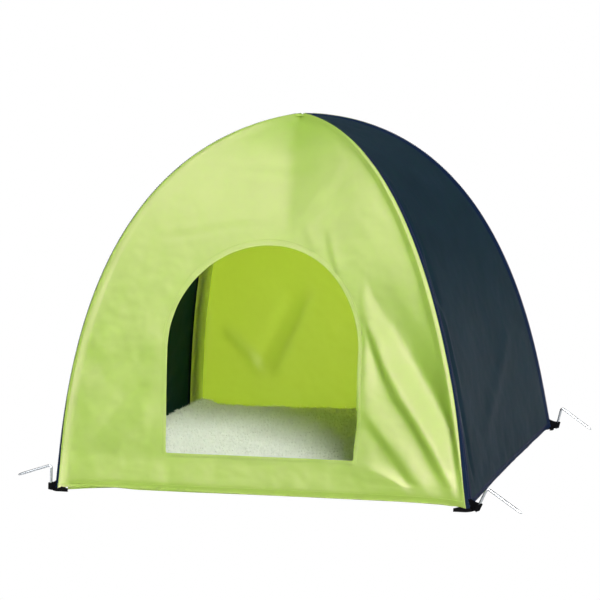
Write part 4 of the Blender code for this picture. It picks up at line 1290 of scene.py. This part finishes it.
def mat_base():
    """Backing cloth under the pad, its edge turned up."""
    obj, s, r = new_grid("mat_backing", 200, 14)
    angle = s * 2 * math.pi
    c, d = np.cos(angle), np.sin(angle)
    power = 8.0
    half_x, half_y = 0.258, 0.212
    reach = (np.abs(c / half_x) ** power + np.abs(d / half_y) ** power) ** (-1 / power)
    curl = np.clip((r - 0.7) / 0.3, 0, 1)
    share = np.where(r < 0.7, r / 0.7 * 0.955, 0.955 + 0.045 * np.sin(curl * math.pi / 2))
    z = 0.0022 + 0.0095 * (1 - np.cos(curl * math.pi / 2))
    set_points(obj, np.stack([reach * c * share, reach * d * share, z], -1))
    weld(obj, 1e-5)
    thicken(obj, 0.0009, [0, 0, -1.0])
    return place(obj, "mat", BACKING, "mat_backing", "mat_underside")


def finish_nodes():
    """Materials of the CAD nodes that stay."""
    looks = {
        "segment": RODS,
        "ferrule": STEEL,
        "end_cap": NYLON,
        "shock_cord": ELASTIC,
        "apex_patch": LIME,
    }
    for name, node in frame["nodes"].items():
        for key, material in looks.items():
            if key in name:
                node.data.materials.clear()
                node.data.materials.append(material)


# Studio


def studio():
    """White paper lit as brightly as the backdrop, so that no horizon shows. The first three
    suns light the tent, and the others only show as the cloth's satin shine."""
    deselect()
    bpy.ops.mesh.primitive_plane_add(size=60)
    floor = bpy.context.active_object
    floor.name = "studio_floor"
    white, tree, surface = new_material("white paper floor")
    paper = add(tree, "BsdfDiffuse", {"Color": linear("#F7F7F7")}).outputs[0]
    glow = add(tree, "Emission", {"Color": (1, 1, 1, 1), "Strength": 1.0}).outputs[0]
    seen = add(tree, "LightPath").outputs["Is Camera Ray"]
    tree.links.new(add(tree, "MixShader", {0: seen, 1: paper, 2: glow}).outputs[0], surface)
    floor.data.materials.append(white)
    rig.stage(floor)
    world = bpy.data.worlds.new("studio")
    bpy.context.scene.world = world
    world.use_nodes = True
    tree = world.node_tree
    tree.nodes.clear()
    seen = add(tree, "LightPath").outputs["Is Camera Ray"]
    strength = map_range(tree, seen, 0.0, 1.0, 0.02, 1.0)
    sky = add(tree, "Background", {"Color": (1, 1, 1, 1), "Strength": strength}).outputs[0]
    tree.links.new(sky, add(tree, "OutputWorld").inputs["Surface"])
    for name, azimuth, elevation, strength, angle in (
        ("key", 38, 38, 3.4, 24),
        ("rear", 190, 38, 3.0, 40),
        ("side", -100, 35, 1.0, 30),
        ("satin left", -45, 30, 1.3, 24),
        ("satin high left", -15, 50, 3.3, 24),
        ("satin high", -15, 70, 2.0, 24),
        ("satin low", 15, 10, 8.4, 24),
        ("satin right", 55, 30, 4.0, 24),
        ("satin high right", 35, 50, 0.8, 24),
        ("satin top", 0, 88, 2.2, 24),
    ):
        data = bpy.data.lights.new(name, "SUN")
        data.energy, data.angle = strength, math.radians(angle)
        light = bpy.data.objects.new(name, data)
        bpy.context.scene.collection.objects.link(light)
        light.visible_glossy = name.startswith("satin")
        light.visible_diffuse = not light.visible_glossy
        az, el = math.radians(azimuth), math.radians(elevation)
        way = Vector((math.sin(az) * math.cos(el), -math.cos(az) * math.cos(el), math.sin(el)))
        light.rotation_mode = "QUATERNION"
        light.rotation_quaternion = way.to_track_quat("Z", "Y")


def camera():
    """The photograph's place: 20 degrees to the right of the doorway and 9 above the floor."""
    turn, rise, roll = (math.radians(angle) for angle in (19.77, 8.75, -2.3))
    level = math.cos(rise)
    back = Vector((math.sin(turn) * level, -math.cos(turn) * level, math.sin(rise)))
    right = Vector((math.cos(turn), math.sin(turn), 0))
    up = back.cross(right)
    across_view = right * math.cos(roll) + up * math.sin(roll)
    up_view = back.cross(across_view)
    target = Vector((0, 0, 0.224)) + right * -0.0131 + up * -0.0028
    distance = 2.649
    data = bpy.data.cameras.new("camera")
    data.lens, data.sensor_width = 117.06, 36
    obj = bpy.data.objects.new("camera", data)
    bpy.context.scene.collection.objects.link(obj)
    axes = Matrix((across_view, up_view, back)).transposed().to_4x4()
    obj.matrix_world = Matrix.Translation(target + back * distance) @ axes
    bpy.context.scene.camera = obj


camera()
studio()
front = front_panel()
back = plain_panel("back", LIME_BACK, "lime_cloth")
left = plain_panel("left", NAVY, "navy_cloth")
right = plain_panel("right", NAVY, "navy_cloth")
hem = door_hem()
sheet = ground_sheet()
sleeves = []
for end in ("front", "back"):
    for side in ("left", "right"):
        sleeves.append(channel(end, side))
        corner_cup(end, side)
        peg_loop(end, side)
        peg(end, side)
stitching()
backing = mat()
finish_nodes()

# The cloth as it was cut
rods = [name for name in frame["nodes"] if "segment" in name]
opening = 2 * DOOR_HALF * (DOOR_SPRING - DOOR_SILL) + math.pi / 2 * DOOR_HALF**2
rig.sheet(front, held="stretched", rests_on=rods, with_pieces=[hem], **cut("front", opening))
for wall, face in ((back, "back"), (left, "left"), (right, "right")):
    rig.sheet(wall, held="stretched", rests_on=rods, **cut(face))
for sleeve in sleeves:
    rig.sheet(sleeve, flat=(0.028, 0.55), held="folded", rests_on=rods)
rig.sheet(sheet, flat=(WIDTH + 0.016, DEPTH + 0.016), held="laid")
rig.sheet(backing, flat=(0.53, 0.44), held="laid", rests_on=[sheet])

bpy.context.scene.view_settings.view_transform = "Standard"

shown_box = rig.bounds()
with open("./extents.json", "w") as out:
    json.dump({"cad": [list(p) for p in solid_box], "visual": [list(p) for p in shown_box]}, out)
